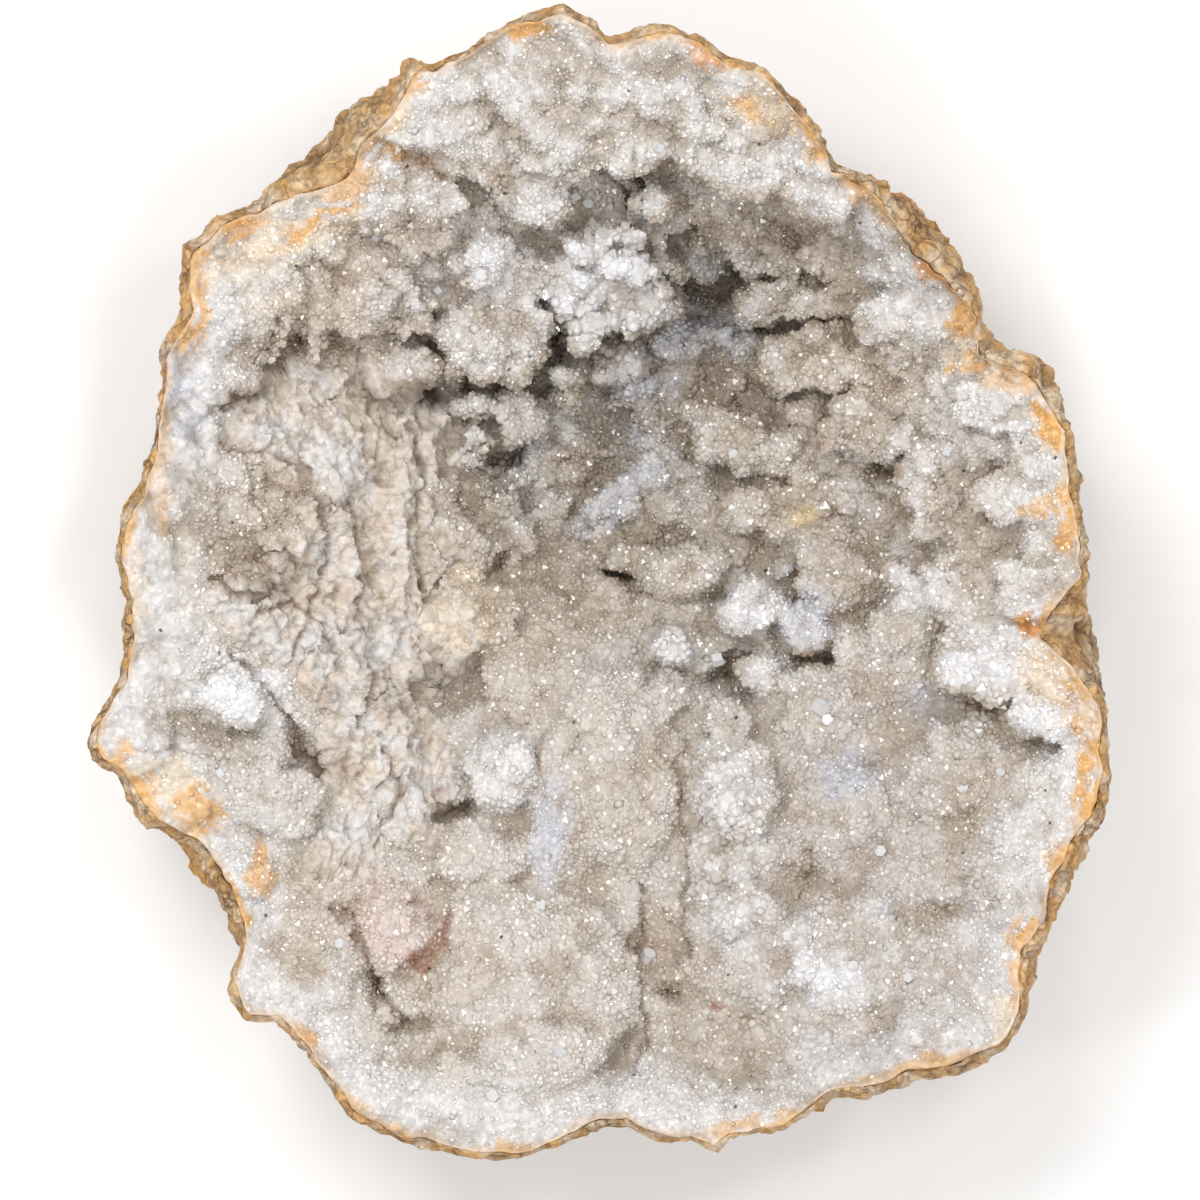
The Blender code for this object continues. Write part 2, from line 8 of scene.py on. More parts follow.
# %% Load the frame
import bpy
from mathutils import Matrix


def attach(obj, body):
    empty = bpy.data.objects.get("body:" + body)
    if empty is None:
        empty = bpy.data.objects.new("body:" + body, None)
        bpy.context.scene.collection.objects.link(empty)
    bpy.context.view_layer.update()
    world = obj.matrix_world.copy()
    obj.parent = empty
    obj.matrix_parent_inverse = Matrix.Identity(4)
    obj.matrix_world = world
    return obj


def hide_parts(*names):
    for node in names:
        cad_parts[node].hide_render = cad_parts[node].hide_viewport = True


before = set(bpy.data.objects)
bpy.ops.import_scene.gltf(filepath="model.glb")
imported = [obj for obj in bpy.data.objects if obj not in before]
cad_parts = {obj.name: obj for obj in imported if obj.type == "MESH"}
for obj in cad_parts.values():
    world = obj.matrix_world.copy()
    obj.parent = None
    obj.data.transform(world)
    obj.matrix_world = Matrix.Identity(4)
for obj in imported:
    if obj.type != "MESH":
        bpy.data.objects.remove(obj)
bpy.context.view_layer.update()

# %% Modules and units
import math

import bpy
import numpy as np
from mathutils import Vector, kdtree, noise

MM = 0.001
TAU = 2.0 * math.pi
SEED = 11

# %% [markdown]
# ## The camera
# The picture was taken from straight above, from far enough away that the rim is not
# drawn larger than the floor of the hollow. A long lens does that: 400 mm on a 36 mm
# sensor covers 240 mm at 2.67 m.

# %% Camera straight above the rim
VIEW_WIDTH = 240 * MM
LENS, SENSOR = 400.0, 36.0
RIM_LEVEL = 78 * MM
PLAN_MIDDLE = np.array([-0.2, 3.2])


def add_camera():
    data = bpy.data.cameras.new("camera")
    data.lens, data.sensor_width, data.clip_end = LENS, SENSOR, 20.0
    camera = bpy.data.objects.new("camera", data)
    bpy.context.scene.collection.objects.link(camera)
    height = RIM_LEVEL + VIEW_WIDTH * LENS / SENSOR
    camera.location = (-PLAN_MIDDLE[0] * MM, -PLAN_MIDDLE[1] * MM, height)
    bpy.context.scene.camera = camera
    print(f"camera {height:.2f} m up, looking straight down")


add_camera()

# %% [markdown]
# ## The shape, as the solids have it
# The outline, the width of the rind and the lumps are the same named values that the
# solids were modelled from, in millimetres. So the fine skins lie on the solids, and only
# what is finer than a crystal cluster is new here.

# %% Outline and rind
OUTLINE = [
    (-7.5, 119), (-18, 116), (-26, 110.5), (-34, 107), (-38, 108), (-43, 103.5), (-52, 98),
    (-53.5, 94.5), (-63, 86), (-70, 79), (-77, 77), (-83, 71), (-84, 65), (-83.5, 59.5),
    (-88, 49.5), (-88, 42), (-89.5, 32), (-92.5, 21), (-95, 18), (-97, 9), (-94.7, 0),
    (-95, -10), (-96.5, -16), (-101.5, -24.5), (-102.7, -28.3), (-102, -32), (-97, -35),
    (-94, -42), (-92, -44.5), (-83.5, -49.5), (-77, -59), (-72.5, -70), (-74.5, -78),
    (-71.5, -84.5), (-65, -84.5), (-59, -91), (-54, -98), (-50.5, -103), (-39.5, -109),
    (-29, -111.5), (-23.5, -112), (-13, -111), (-5, -108), (0, -106), (5.5, -105.5),
    (11.5, -108), (18.5, -108.3), (23, -110.5), (26, -107.5), (38, -105.8), (46.7, -100),
    (54, -99.3), (63.5, -96), (71, -95), (81, -90), (85, -84), (87.2, -76.5), (87, -72.7),
    (90.7, -64.3), (95, -56), (100.3, -45), (102.4, -35), (101.4, -30.6), (101.8, -26),
    (100, -13), (98, -3), (97.6, 5), (95.7, 21), (93.7, 35), (91.5, 43.5), (89.2, 47.3),
    (81, 51.5), (77.3, 55), (75.4, 62.2), (72.6, 68), (66.6, 76), (56.6, 83.6), (47, 86.7),
    (42, 96), (37.5, 101), (32, 106.6), (26, 108.5), (20, 112.7), (12.6, 115.3), (6.5, 113.5),
    (1.5, 112.3), (-3, 116.5),
]
RIND_BANDS = [
    (-180, 2.4), (-160, 2.6), (-152, 4.0), (-140, 4.2), (-130, 2.4), (-75, 2.4), (-63, 3.6),
    (-55, 3.6), (-47, 2.6), (-41, 5.0), (-36, 3.0), (-32, 6.0), (-27, 5.0), (-22, 2.6),
    (-12, 3.0), (-8, 7.0), (-5, 12.0), (-1, 9.0), (3, 3.0), (20, 2.4), (27, 6.0), (33, 6.0),
    (37, 3.0), (42, 6.0), (48, 9.0), (55, 5.0), (61, 2.6), (108, 2.6), (113, 7.0),
    (121, 11.0), (127, 6.0), (132, 3.0), (142, 3.4), (155, 2.4), (180, 2.4),
]
RIM_HEIGHTS = [
    (-180, 80), (-165, 76), (-150, 70), (-135, 71), (-120, 75), (-105, 77), (-90, 76),
    (-75, 78), (-60, 80), (-45, 79), (-30, 77), (-15, 80), (0, 83), (15, 84), (30, 82),
    (45, 84), (60, 87), (75, 88), (90, 86), (105, 82), (120, 76), (135, 75), (150, 79),
    (165, 82),
]

# %% Floor of the hollow, and the lumps, ledges and pits on it
FLOOR = [
    (-80, 50, 76), (-78, 20, 76), (-78, -5, 74), (-84, -28, 71), (-66, -42, 66),
    (-62, 64, 72), (-35, 88, 73), (-12, 94, 77), (10, 96, 79), (30, 92, 77), (52, 76, 76),
    (-66, 42, 58), (-62, 30, 61), (-64, 12, 68), (-68, -6, 68), (-50, 40, 53), (-50, 20, 57),
    (-50, 0, 58), (-40, 30, 48), (-36, 10, 48), (-46, -25, 56), (-33, -17, 45),
    (-50, -42, 58), (-38, 62, 58), (-38, 44, 44), (-20, 60, 50), (-12, 78, 57), (-24, 30, 37),
    (-18, 22, 34), (-12, 36, 29), (-3, 44, 30), (6, 58, 34), (14, 80, 56), (26, 80, 58),
    (24, 66, 27), (36, 72, 44), (20, 52, 27), (12, 38, 28), (24, 40, 31), (0, 24, 30),
    (14, 22, 33), (-14, 12, 33), (4, 8, 34), (24, 6, 38), (32, 22, 39), (38, 42, 38),
    (42, 62, 44), (62, 60, 70), (58, 68, 75), (74, 50, 76), (48, 38, 46), (52, 24, 46),
    (42, 2, 42), (56, 2, 50), (70, 40, 70), (84, 44, 80), (72, 18, 70), (74, -4, 68),
    (86, 10, 80), (82, -18, 70), (64, -16, 56), (17, -10, 40), (34, -12, 42), (50, -26, 53),
    (28, -30, 52), (12, -30, 50), (-4, -14, 49), (-20, -14, 50), (-8, -40, 53),
    (-26, -38, 53), (10, -55, 52), (12, -78, 56), (30, -60, 58), (50, -48, 58),
    (72, -40, 66), (60, -66, 66), (80, -62, 73), (44, -86, 69), (66, -86, 74), (20, -98, 71),
    (0, -98, 69), (-14, -58, 56), (-40, -52, 57), (-36, -80, 61), (-58, -62, 66),
    (-60, -80, 69), (-34, -98, 71), (-12, -94, 69),
]
# Ledges and sharp-edged lumps (x, y, rise, half length, half width, turn in degrees).
LEDGES = [
    (-79, 58, 2, 22, 17, 45), (-58, 58, 6, 5, 8, 0), (-47, 60, 8, 13, 8.5, 0),
    (-41, 49, 8, 8, 6, -15), (-22, 57, 11, 12, 12, 20), (-8.5, 45, 13, 4, 6.5, 0),
    (-23, 39.5, 9, 11.5, 5, -12), (-26.5, 31, 8, 4.5, 5, 0), (-24, 68, 10, 6, 6, 0),
    (-14, 66, 10, 8, 6.5, 0), (-39, 79, 6, 12, 9, 0), (-16, 85, 7, 11, 8, -40),
    (-5, 96, 5, 14, 13, 0), (13, 98, 5, 12, 11, 0), (2, 81, 4, 4.5, 3, 0),
    (9.5, 82, 9, 3.4, 5.4, 5), (-4, 73, 12, 7, 6, 0), (4, 75, 12, 6, 5, 0),
    (5, 67, 17, 8, 8, 0), (12, 69.5, 13, 4, 3.5, 0), (6, 60, 17, 6.5, 6, 0),
    (-5, 63, 12, 7, 7, 0), (-1, 56, 14, 6, 5, 10), (31, 90, 6, 12, 8, -5),
    (45, 84, 5, 8, 7, 0), (24, 76, 5, 14, 5.5, -5), (35, 70, 6, 9, 5, -15),
    (42, 61, 9, 12.5, 5.5, 5), (20, 53, 8, 12, 6, 8), (3, 49, 9, 7, 4.5, 0),
    (50, 48, 9, 17, 7.5, 4), (63, 56, 6, 13, 7.5, 0), (57, 35, 10, 12, 7.5, 4),
    (32, 33, 10, 15, 8, -7), (46, 25, 5, 8, 4.5, -10), (38, 18, 7, 13, 7, 0),
    (49, 8, 9, 9.5, 12, 15), (64, 2, 6, 6, 6, 0), (68, 22, 6, 7.5, 10, 0),
    (82, 40, 4, 9, 7.5, 10), (85, 22, 3, 9, 9, 0), (88, 4, 4, 9, 8, 20),
    (75, 2, 4, 9, 9, 0), (8, 42, 5, 10, 6.5, 15), (25, 43, 5, 9, 5.5, 0),
    (5, 21, 7, 13, 5, 38), (-5, 30, 5, 9, 5.5, 20), (-20.5, 21, 9, 6, 7, 0),
    (-16.5, 13, 6, 4.5, 5.5, 0), (-28, 13, 6, 9, 5.5, -30), (4, 10, 7, 5, 5.5, 0),
    (17, 7, 9, 10.5, 6.5, 5), (31, -1, 11, 7, 6.5, 0), (42.5, -3, 9, 5.5, 6.5, 0),
    (14, -9.5, 9, 5, 4.5, 0), (5, -16.5, 5, 4.5, 3.8, 0), (12, -20, 5, 6, 6, 0),
    (-27, -2, 8, 10, 10.5, 0), (-19, -34, 9, 8.5, 8.5, 0), (-25, -52, 6, 11, 9, 0),
    (-42, -66, 7, 9, 9, 0), (26, -25, 7, 4.5, 5, 0), (34, -15, 7, 5.5, 6, -30),
    (53, -9, 6, 6.5, 5.5, 0), (62, -6, 6, 8, 5.5, 0), (78, -13, 7, 11, 8, -35),
    (92, -24, 5, 9, 5, -8), (73, -28, 5, 6.5, 5, 0), (-75, -20, 6, 9, 7, -25),
    (-95, -28, 4, 10, 8, 0), (-68, -38, 5, 13, 8.5, -30), (-86, -39, 3, 9, 7.5, 0),
    (-73, -55, 4, 8, 5, -10), (-61, -72, 4, 13, 13, 0),
]
# Soft rises of the floor, and below zero its pits and grooves, in the same terms.
SWELLS = [
    (-63, 16, 6, 8, 9, 0), (-69, 6, 5, 8, 4, 12), (-52, 30, 4, 12, 8, 60),
    (-53, -15, 4, 8, 7, 0), (-38, -44, 4, 7, 7, 0), (-10, -45, 4, 6, 14, 0),
    (3, -34, 8, 14.5, 22, 0), (27, -38, 10, 10, 11, 0), (29, -53, 9, 13, 15, 0),
    (30, -70, 7, 14, 13, 0), (44, -21, 5, 10, 10, 0), (57, -15, 5, 9, 8, 0),
    (68, -37, 6, 10, 9, 0), (85, -46, 4, 9, 7, 0), (84, -58, 4, 11, 9, 0),
    (-15, -78, 11, 25, 21, 0), (-32, -98, 6, 22, 9, -8), (14, -100, 6, 12, 8, 0),
    (35, -100, 4, 8, 6, 0), (67, -86, 5, 11, 7, 15), (50, -70, 8, 15, 13, 0),
    (66, -75, 3, 8, 8, 0), (48, -42, 6, 11, 10, 0),
    (-19, 28.5, -12, 6, 2.4, 10), (24, 62.5, -5, 8, 3.4, 0), (24, 70, 7, 9, 6, 0), (42, 40, 4, 7, 5, 0), (-36, 42, -7, 5, 3.5, 0),
    (57, 26, -8, 6, 3.5, 20), (53, -3, -9, 5, 3, 35), (43, -11.5, -8, 5.5, 2.5, -5),
    (25, -14, -6, 9, 6, -20), (0, 3, -7, 6, 2.2, 30), (-29, -43, -7, 5.5, 2.2, 15),
    (-31, -18, -4, 8, 7, 0), (75, -20, -6, 5, 2.4, -40), (85, -28, -5, 7, 2.4, -20),
    (14, -79, -7, 3.6, 3.4, 0), (7, -90, -3, 11, 4, 55), (-45, -78, -6, 7, 2.2, 80),
    (-39, -85, -5, 7, 2.2, 0), (-49.5, -66, -5, 9, 2.6, 88), (-59, -30, -6, 9, 2.6, -52),
    (12, -70, -4, 5, 12, 0), (38, -56, -4, 9, 5, 0), (70, -62, -4, 10, 4, 10),
    (22, 89, -5, 3, 7, 0), (-24, 81, -7, 4.5, 3, 0), (37, 54.5, -6, 5, 2.4, 5),
]
LEVELLING = 0.55
LUMP_WARP = (8.0, 2.2)
print(f"{len(LEDGES)} ledges and {len(SWELLS)} swells on {len(FLOOR)} floor points")

# %% [markdown]
# ## Reading the shape
# Small functions answer, for any point of the plan: how far the outline is, where the
# quartz ends, how high the floor is. `mound` is the one brush of this script: an ellipse
# that is 1 in the middle and 0 at its edge. It raises lumps here, and later paints stains
# and painted light and shade.

# %% Outline, bands and noise
def by_angle(table, angle):
    """Value of a (degrees, value) table at an angle in radians."""
    degrees, values = zip(*table)
    return np.interp(np.degrees(angle), degrees, values, period=360)


OUTLINE_XY = np.array(OUTLINE, float)
OUTLINE_ANGLES = np.arctan2(OUTLINE_XY[:, 1], OUTLINE_XY[:, 0])
OUTLINE_RADII = np.linalg.norm(OUTLINE_XY, axis=1)
# The bands of the solids have to be thick enough to print; less of the rind really shows.
BAND_HIDDEN = 1.0


def outline_radius(angle):
    order = np.argsort(OUTLINE_ANGLES)
    return np.interp(angle, OUTLINE_ANGLES[order], OUTLINE_RADII[order], period=TAU)


def plan(angle, radius):
    return np.stack([radius * np.cos(angle), radius * np.sin(angle)], axis=-1)


def wander(points, wavelength, seed):
    """Smooth noise between about -1 and 1 at each point, of two or three coordinates."""
    places = np.column_stack([points, np.full(len(points), 9.0 * seed)])[:, :3] / wavelength
    if points.shape[1] == 3:
        places = (points + 37.0 * seed) / wavelength
    return np.array([noise.noise(Vector(place)) for place in places])


def mound(xy, x, y, half_length, half_width, turn):
    """1 at a mound's middle, down to 0 at the edge of its ellipse and outside it."""
    away = xy - (x, y)
    turned = math.radians(turn)
    along = away @ (math.cos(turned), math.sin(turned)) / half_length
    across = away @ (-math.sin(turned), math.cos(turned)) / half_width
    return np.clip(1.0 - along**2 - across**2, 0.0, 1.0)


def ease(value, start, end):
    """0 before start, 1 past end, and a soft change between."""
    share = np.clip((value - start) / (end - start), 0.0, 1.0)
    return share * share * (3.0 - 2.0 * share)


def quartz_radius(angle):
    """Where the quartz ends and the rind begins, with a ragged edge."""
    around = plan(angle, 90.0)
    ragged = 0.9 * wander(around, 8.0, 4) + 0.6 * wander(around, 2.8, 5)
    return outline_radius(angle) - by_angle(RIND_BANDS, angle) + BAND_HIDDEN + ragged


# %% The chalky patch
# The chalky patch, as overlapping ellipses (x, y, half length, half width, turn).
CHALK = [
    (-58, 36, 19, 13, -12), (-44, 33, 17, 17, 0), (-46, 12, 19, 14, 0), (-58, 6, 12, 8, -35),
    (-66, -3, 13, 8, -20), (-52, -10, 20, 13, -40), (-43, -32, 15, 20, 10), (-50, -50, 10, 9, 0),
    (-36, -6, 13, 16, 0),
]


def cover(areas, xy):
    """1 in the middle of the areas, 0 outside all of them."""
    most = np.zeros(len(xy))
    for x, y, half_length, half_width, turn in areas:
        most = np.maximum(most, mound(xy, x, y, half_length, half_width, turn))
    return ease(most, 0.05, 0.45)


# %% The floor as a thin sheet through its points
def sheet_kernel(distance):
    return distance**2 * np.log(np.maximum(distance, 1e-6))


def hold_sheet(points):
    """Weights of the smooth sheet that passes through points (x, y, z)."""
    size = len(points)
    reach = np.linalg.norm(points[:, None, :2] - points[None, :, :2], axis=2)
    plane = np.column_stack([np.ones(size), points[:, :2]])
    matrix = np.zeros((size + 3, size + 3))
    matrix[:size, :size] = sheet_kernel(reach)
    matrix[:size, size:] = plane
    matrix[size:, :size] = plane.T
    return np.linalg.solve(matrix, np.append(points[:, 2], np.zeros(3)))


def sheet_points():
    angle = np.radians([degrees for degrees, _ in RIM_HEIGHTS])
    rim = plan(angle, outline_radius(angle) - by_angle(RIND_BANDS, angle))
    heights = [height for _, height in RIM_HEIGHTS]
    return np.vstack([np.column_stack([rim, heights]), np.array(FLOOR, float)])


SHEET_POINTS = sheet_points()
SHEET_WEIGHTS = hold_sheet(SHEET_POINTS)


def sheet_height(xy):
    reach = np.linalg.norm(xy[:, None] - SHEET_POINTS[None, :, :2], axis=2)
    bent = sheet_kernel(reach) @ SHEET_WEIGHTS[:-3]
    return bent + SHEET_WEIGHTS[-3] + xy @ SHEET_WEIGHTS[-2:]


# %% [markdown]
# ## A map of heights
# The floor, its lumps and its pits are worked out once, on a map with a cell of 0.4 mm.
# The edges of the ledges are scalloped here, because a ledge of quartz is a row of
# crystal clusters and its edge runs round each of them. A ledge is steep on the side that
# looks down into the hollow, and dies out on the wall behind it.

# %% Height map
CELL = 0.4
MAP_X = np.arange(-108.0, 108.0, CELL)
MAP_Y = np.arange(-118.0, 124.0, CELL)
# Clusters along a ledge: how wide they are, and what share of its place each keeps.
CLUSTERS = [(4.2, 0.32), (2.3, 0.3)]
# Small ledges between the named ones, drawn at random within these sizes.
SMALL_LEDGES = 55
SMALL_RISE, SMALL_LENGTH, SMALL_WIDTH = (2.0, 4.0), (4.5, 9.0), (3.0, 5.5)
SMALL_MIDDLE, SMALL_REACH = (24.0, 34.0), 44.0
LEDGE_FRONT, LEDGE_BACK = 0.36, 1.5
SOUTHWARD = 0.9
SWELL_POWER, PIT_POWER = 0.7, 1.6
SOFTEN_CLIFFS = 1
# Crystals fill a crevice to within this depth of what is around it.
FILL_WIDTH, CREVICE_DEPTH = 5, 5.0
LOWEST = 22.0


def in_clusters(xy):
    """Points drawn towards the middle of their cluster, so an edge steps round clusters."""
    for width, share in CLUSTERS:
        flat = np.column_stack([xy / width, np.zeros(len(xy))])
        middles = np.array([noise.voronoi(Vector(place))[1][0][:2] for place in flat])
        xy = xy + share * (middles * width - xy)
    return xy


def forwardness(xy, x, y, half_length, half_width, turn):
    """-1 at the back of a ledge, 1 at the front, which looks down the hollow's wall."""
    around = [(x + 4.0, y), (x - 4.0, y), (x, y + 4.0), (x, y - 4.0)]
    east, west, north, south = sheet_height(np.array(around, float))
    fall = np.array([west - east, south - north]) / 8.0 - (0.0, SOUTHWARD)
    heading = math.atan2(fall[1], fall[0])
    bearing = heading - math.radians(turn)
    reach = math.hypot(half_length * math.cos(bearing), half_width * math.sin(bearing))
    return (xy - (x, y)) @ (math.cos(heading), math.sin(heading)) / reach


def small_ledges():
    """Ledges like the named ones in the rest of the druse, the same at every run."""
    draw = np.random.default_rng(SEED)
    places = plan(draw.uniform(-math.pi, math.pi, SMALL_LEDGES),
                  SMALL_REACH * np.sqrt(draw.random(SMALL_LEDGES)))
    places = places[cover(CHALK, places + SMALL_MIDDLE) < 0.3] + SMALL_MIDDLE
    return [
        (x, y, draw.uniform(*SMALL_RISE), draw.uniform(*SMALL_LENGTH), draw.uniform(*SMALL_WIDTH),
         draw.normal(0.0, 25.0))
        for x, y in places
    ]


def lumpy_height(xy):
    """The floor with its swells, pits, lumps and scalloped ledges."""
    wavelength, reach = LUMP_WARP
    warped = xy + reach * np.column_stack([wander(xy, wavelength, 1), wander(xy, wavelength, 2)])
    floor = np.concatenate([sheet_height(part) for part in np.array_split(xy, 24)])
    height = floor.copy()
    for x, y, rise, half_length, half_width, turn in SWELLS:
        power = SWELL_POWER if rise > 0.0 else PIT_POWER
        height += rise * mound(warped, x, y, half_length, half_width, turn) ** power
    warped = in_clusters(warped)
    for x, y, rise, half_length, half_width, turn in LEDGES + small_ledges():
        inside = mound(warped, x, y, half_length, half_width, turn)
        level = sheet_height(np.array([(x, y)], float))
        forward = forwardness(warped, x, y, half_length, half_width, turn)
        power = LEDGE_BACK + (LEDGE_FRONT - LEDGE_BACK) * ease(forward, -0.8, 0.1)
        ledge = floor + LEVELLING * (level - floor) + rise * inside**power
        height = np.where(inside > 0.0, np.maximum(height, ledge), height)
    return height


def blur(heights, cells):
    """A map evened out by a bell curve that is so many cells wide."""
    reach = int(3 * cells)
    bell = np.exp(-0.5 * (np.arange(-reach, reach + 1) / cells) ** 2)
    bell /= bell.sum()
    for axis in (0, 1):
        padding = [(reach, reach) if axis == k else (0, 0) for k in (0, 1)]
        padded = np.pad(heights, padding, mode="edge")
        size = heights.shape[axis]
        shifted = [np.take(padded, np.arange(k, k + size), axis) for k in range(2 * reach + 1)]
        heights = sum(weight * layer for weight, layer in zip(bell, shifted))
    return heights


def make_height_map():
    east, north = np.meshgrid(MAP_X, MAP_Y)
    heights = lumpy_height(np.column_stack([east.ravel(), north.ravel()])).reshape(east.shape)
    heights = np.maximum(heights, blur(heights, FILL_WIDTH) - CREVICE_DEPTH)
    heights = np.maximum(heights, LOWEST)
    return blur(heights, SOFTEN_CLIFFS)


HEIGHT_MAP = make_height_map()
EVENED_MAP = blur(HEIGHT_MAP, 6)
NORTH_SLOPE, EAST_SLOPE = np.gradient(EVENED_MAP, CELL)
print("height map:", HEIGHT_MAP.shape, "cells")


def look_up(chart, xy):
    """Value of a map at each point, between its cells."""
    u = np.clip((xy[:, 0] - MAP_X[0]) / CELL, 0, len(MAP_X) - 1.001)
    v = np.clip((xy[:, 1] - MAP_Y[0]) / CELL, 0, len(MAP_Y) - 1.001)
    i, j = u.astype(int), v.astype(int)
    u, v = u - i, v - j
    near = chart[j, i] * (1 - u) + chart[j, i + 1] * u
    far = chart[j + 1, i] * (1 - u) + chart[j + 1, i + 1] * u
    return near * (1 - v) + far * v


# %% [markdown]
# ## Where what grew
# Three kinds of surface make up the crust. The broken rim is smooth milky quartz. The
# hollow is druse, grown all over with points. On the left lies a patch of cream chalky
# crust, cracked and dull, that the quartz never covered. Each has a field over the plan
# that runs from 0 to 1.

# %% Fields of the crust
MILK_RIM = (5.0, 19.0)
# Smooth rounded quartz with few points.
SMOOTH = [
    (0, 65, 15, 13, 0), (5, 76, 11, 6, 0), (-25, 31, 6, 7, 0), (31, -1, 9, 8, 0),
    (13.5, -9, 6, 5, 0), (-19, -34, 10, 10, 0), (42, -4, 8, 7, 0), (20, 53, 13, 6, 8),
    (8, 42, 11, 6, 15), (4, 21, 15, 5, 38), (-12, 32, 8, 3, 35), (64, 2, 7, 7, 0),
    (-69, 6, 8, 4, 12), (-75, -20, 11, 9, -25), (-53, -15, 6, 5, 0), (-42, -66, 7, 7, 0),
    (-10, -46, 5, 12, 0), (26, -52, 9, 24, 0), (92, -22, 12, 8, 0), (63, 56, 13, 8, 0),
    (-16, 21, 6, 9, 0), (50, -72, 14, 10, 20), (82, 39, 11, 7, 0), (58, -90, 24, 6, 10),
    (-25, -102, 26, 7, 0), (-79, 58, 20, 12, 45), (-82, 30, 12, 28, 0),
    (-88, 0, 13, 28, 0),
]


def fields(xy):
    """Distance from the edge, and how milky, chalky and smooth each point is."""
    angle = np.arctan2(xy[:, 1], xy[:, 0])
    from_edge = quartz_radius(angle) - np.linalg.norm(xy, axis=1)
    strayed = xy + 3.0 * np.column_stack([wander(xy, 7.0, 8), wander(xy, 7.0, 9)])
    patchy = from_edge + 7.0 * wander(xy, 13.0, 10) + 3.0 * wander(xy, 4.0, 11)
    chalk = cover(CHALK, strayed)
    milk = (1.0 - ease(patchy, *MILK_RIM)) * (1.0 - chalk)
    smooth = cover(SMOOTH, strayed) * (1.0 - chalk)
    return {"from_edge": from_edge, "milk": milk, "chalk": chalk, "smooth": smooth}


# %% [markdown]
# ## The crust
# It starts as a flat six-sided sheet of equal triangles, made by subdividing a circle of
# six corners. The sheet is spread over the plan of the quartz and dropped on the map of
# heights. A vertical cliff would then have long thin triangles, so the points slide over
# the relief towards the cliffs first. Last, the ledges are undercut, and everything swells
# into rounded lobes, which makes the edges look like cauliflower, as a druse does.

# %% A sheet of triangles
CUTS = (23, 6)
DISC_RINGS = (CUTS[0] + 1) * (CUTS[1] + 1)


def start_fresh():
    """Nothing selected, so that an operator acts only on what is added next."""
    bpy.ops.object.select_all(action="DESELECT")


def read_points(piece):
    flat = np.empty(3 * len(piece.data.vertices))
    piece.data.vertices.foreach_get("co", flat)
    return flat.reshape(-1, 3)


def write_points(piece, points):
    piece.data.vertices.foreach_set("co", np.asarray(points, float).ravel())
    piece.data.update()


def read_corners(piece):
    """The corners of a mesh of triangles."""
    flat = np.empty(3 * len(piece.data.polygons), dtype=np.int32)
    piece.data.polygons.foreach_get("vertices", flat)
    return flat.reshape(-1, 3)


def add_sheet():
    start_fresh()
    bpy.ops.mesh.primitive_circle_add(vertices=6, radius=1.0, fill_type="TRIFAN")
    sheet = bpy.context.object
    bpy.ops.object.mode_set(mode="EDIT")
    bpy.ops.mesh.select_all(action="SELECT")
    for cuts in CUTS:
        bpy.ops.mesh.subdivide(number_cuts=cuts)
    bpy.ops.object.mode_set(mode="OBJECT")
    print(f"sheet of {len(sheet.data.polygons)} triangles, {DISC_RINGS} rings")
    return sheet


crust = add_sheet()
crust.name = crust.data.name = "druse_crust"

# %% The sheet on the plan of the quartz
SLIDES = 60
CLIFF_PULL = 2
SLIDE_STEP = 0.2


def spread_on_plan(sheet_xy):
    """Moves the six-sided sheet to the plan of the quartz. The second value is 1 at its edge."""
    sides = np.radians(np.arange(0, 360, 60))
    normals = plan(sides, 1.0 / math.cos(math.radians(30)))
    share = np.max(sheet_xy @ normals.T, axis=1)
    angle = np.arctan2(sheet_xy[:, 1], sheet_xy[:, 0])
    return plan(angle, share * quartz_radius(angle)), share


def edges_of(corners):
    pairs = np.vstack([corners[:, [0, 1]], corners[:, [1, 2]], corners[:, [2, 0]]])
    return np.unique(np.sort(pairs, axis=1), axis=0)


def slide_to_cliffs(xy, edges, held):
    """Each point moves between its neighbours, towards those that are far away."""
    count = len(xy)
    for _ in range(SLIDES):
        points = np.column_stack([xy, look_up(HEIGHT_MAP, xy)])
        length = np.linalg.norm(points[edges[:, 0]] - points[edges[:, 1]], axis=1)
        pull = length**CLIFF_PULL
        ends, others = edges.ravel(), edges[:, ::-1].ravel()
        pulls = np.repeat(pull, 2)
        total = np.bincount(ends, pulls, count)
        moved = [np.bincount(ends, pulls * xy[others, k], count) / total for k in (0, 1)]
        step = SLIDE_STEP * (np.column_stack(moved) - xy)
        xy = np.where(held[:, None], xy, xy + step)
    return xy


corners = read_corners(crust)
plan_xy, ring_share = spread_on_plan(read_points(crust)[:, :2])
on_rim = ring_share > 1.0 - 0.5 / DISC_RINGS
plan_xy = slide_to_cliffs(plan_xy, edges_of(corners), on_rim)
print(f"{len(plan_xy)} points, {on_rim.sum()} of them on the rim")

# %% Undercut ledges and rounded lobes
UNDERCUT = 0.85
MOST_UNDERCUT = 2.6
# Lobes of the druse: how far they are apart and how far they stand out.
LOBES = [(12.0, 2.4), (5.2, 1.6), (2.9, 0.6)]
# They are bolder in the upper half, where the druse hangs in bunches, than in the lower.
CALM_LOBES, BOLD_LOBES = 0.6, 1.25
# Folds and flakes of the chalky patch, in the same terms, and how they are drawn out:
# the big folds run down the patch, the flakes run no way at all.
CHALK_FOLDS = [(13.0, 2.0, 0.45), (4.6, 1.3, 0.75), (2.1, 1.2, 1.0)]
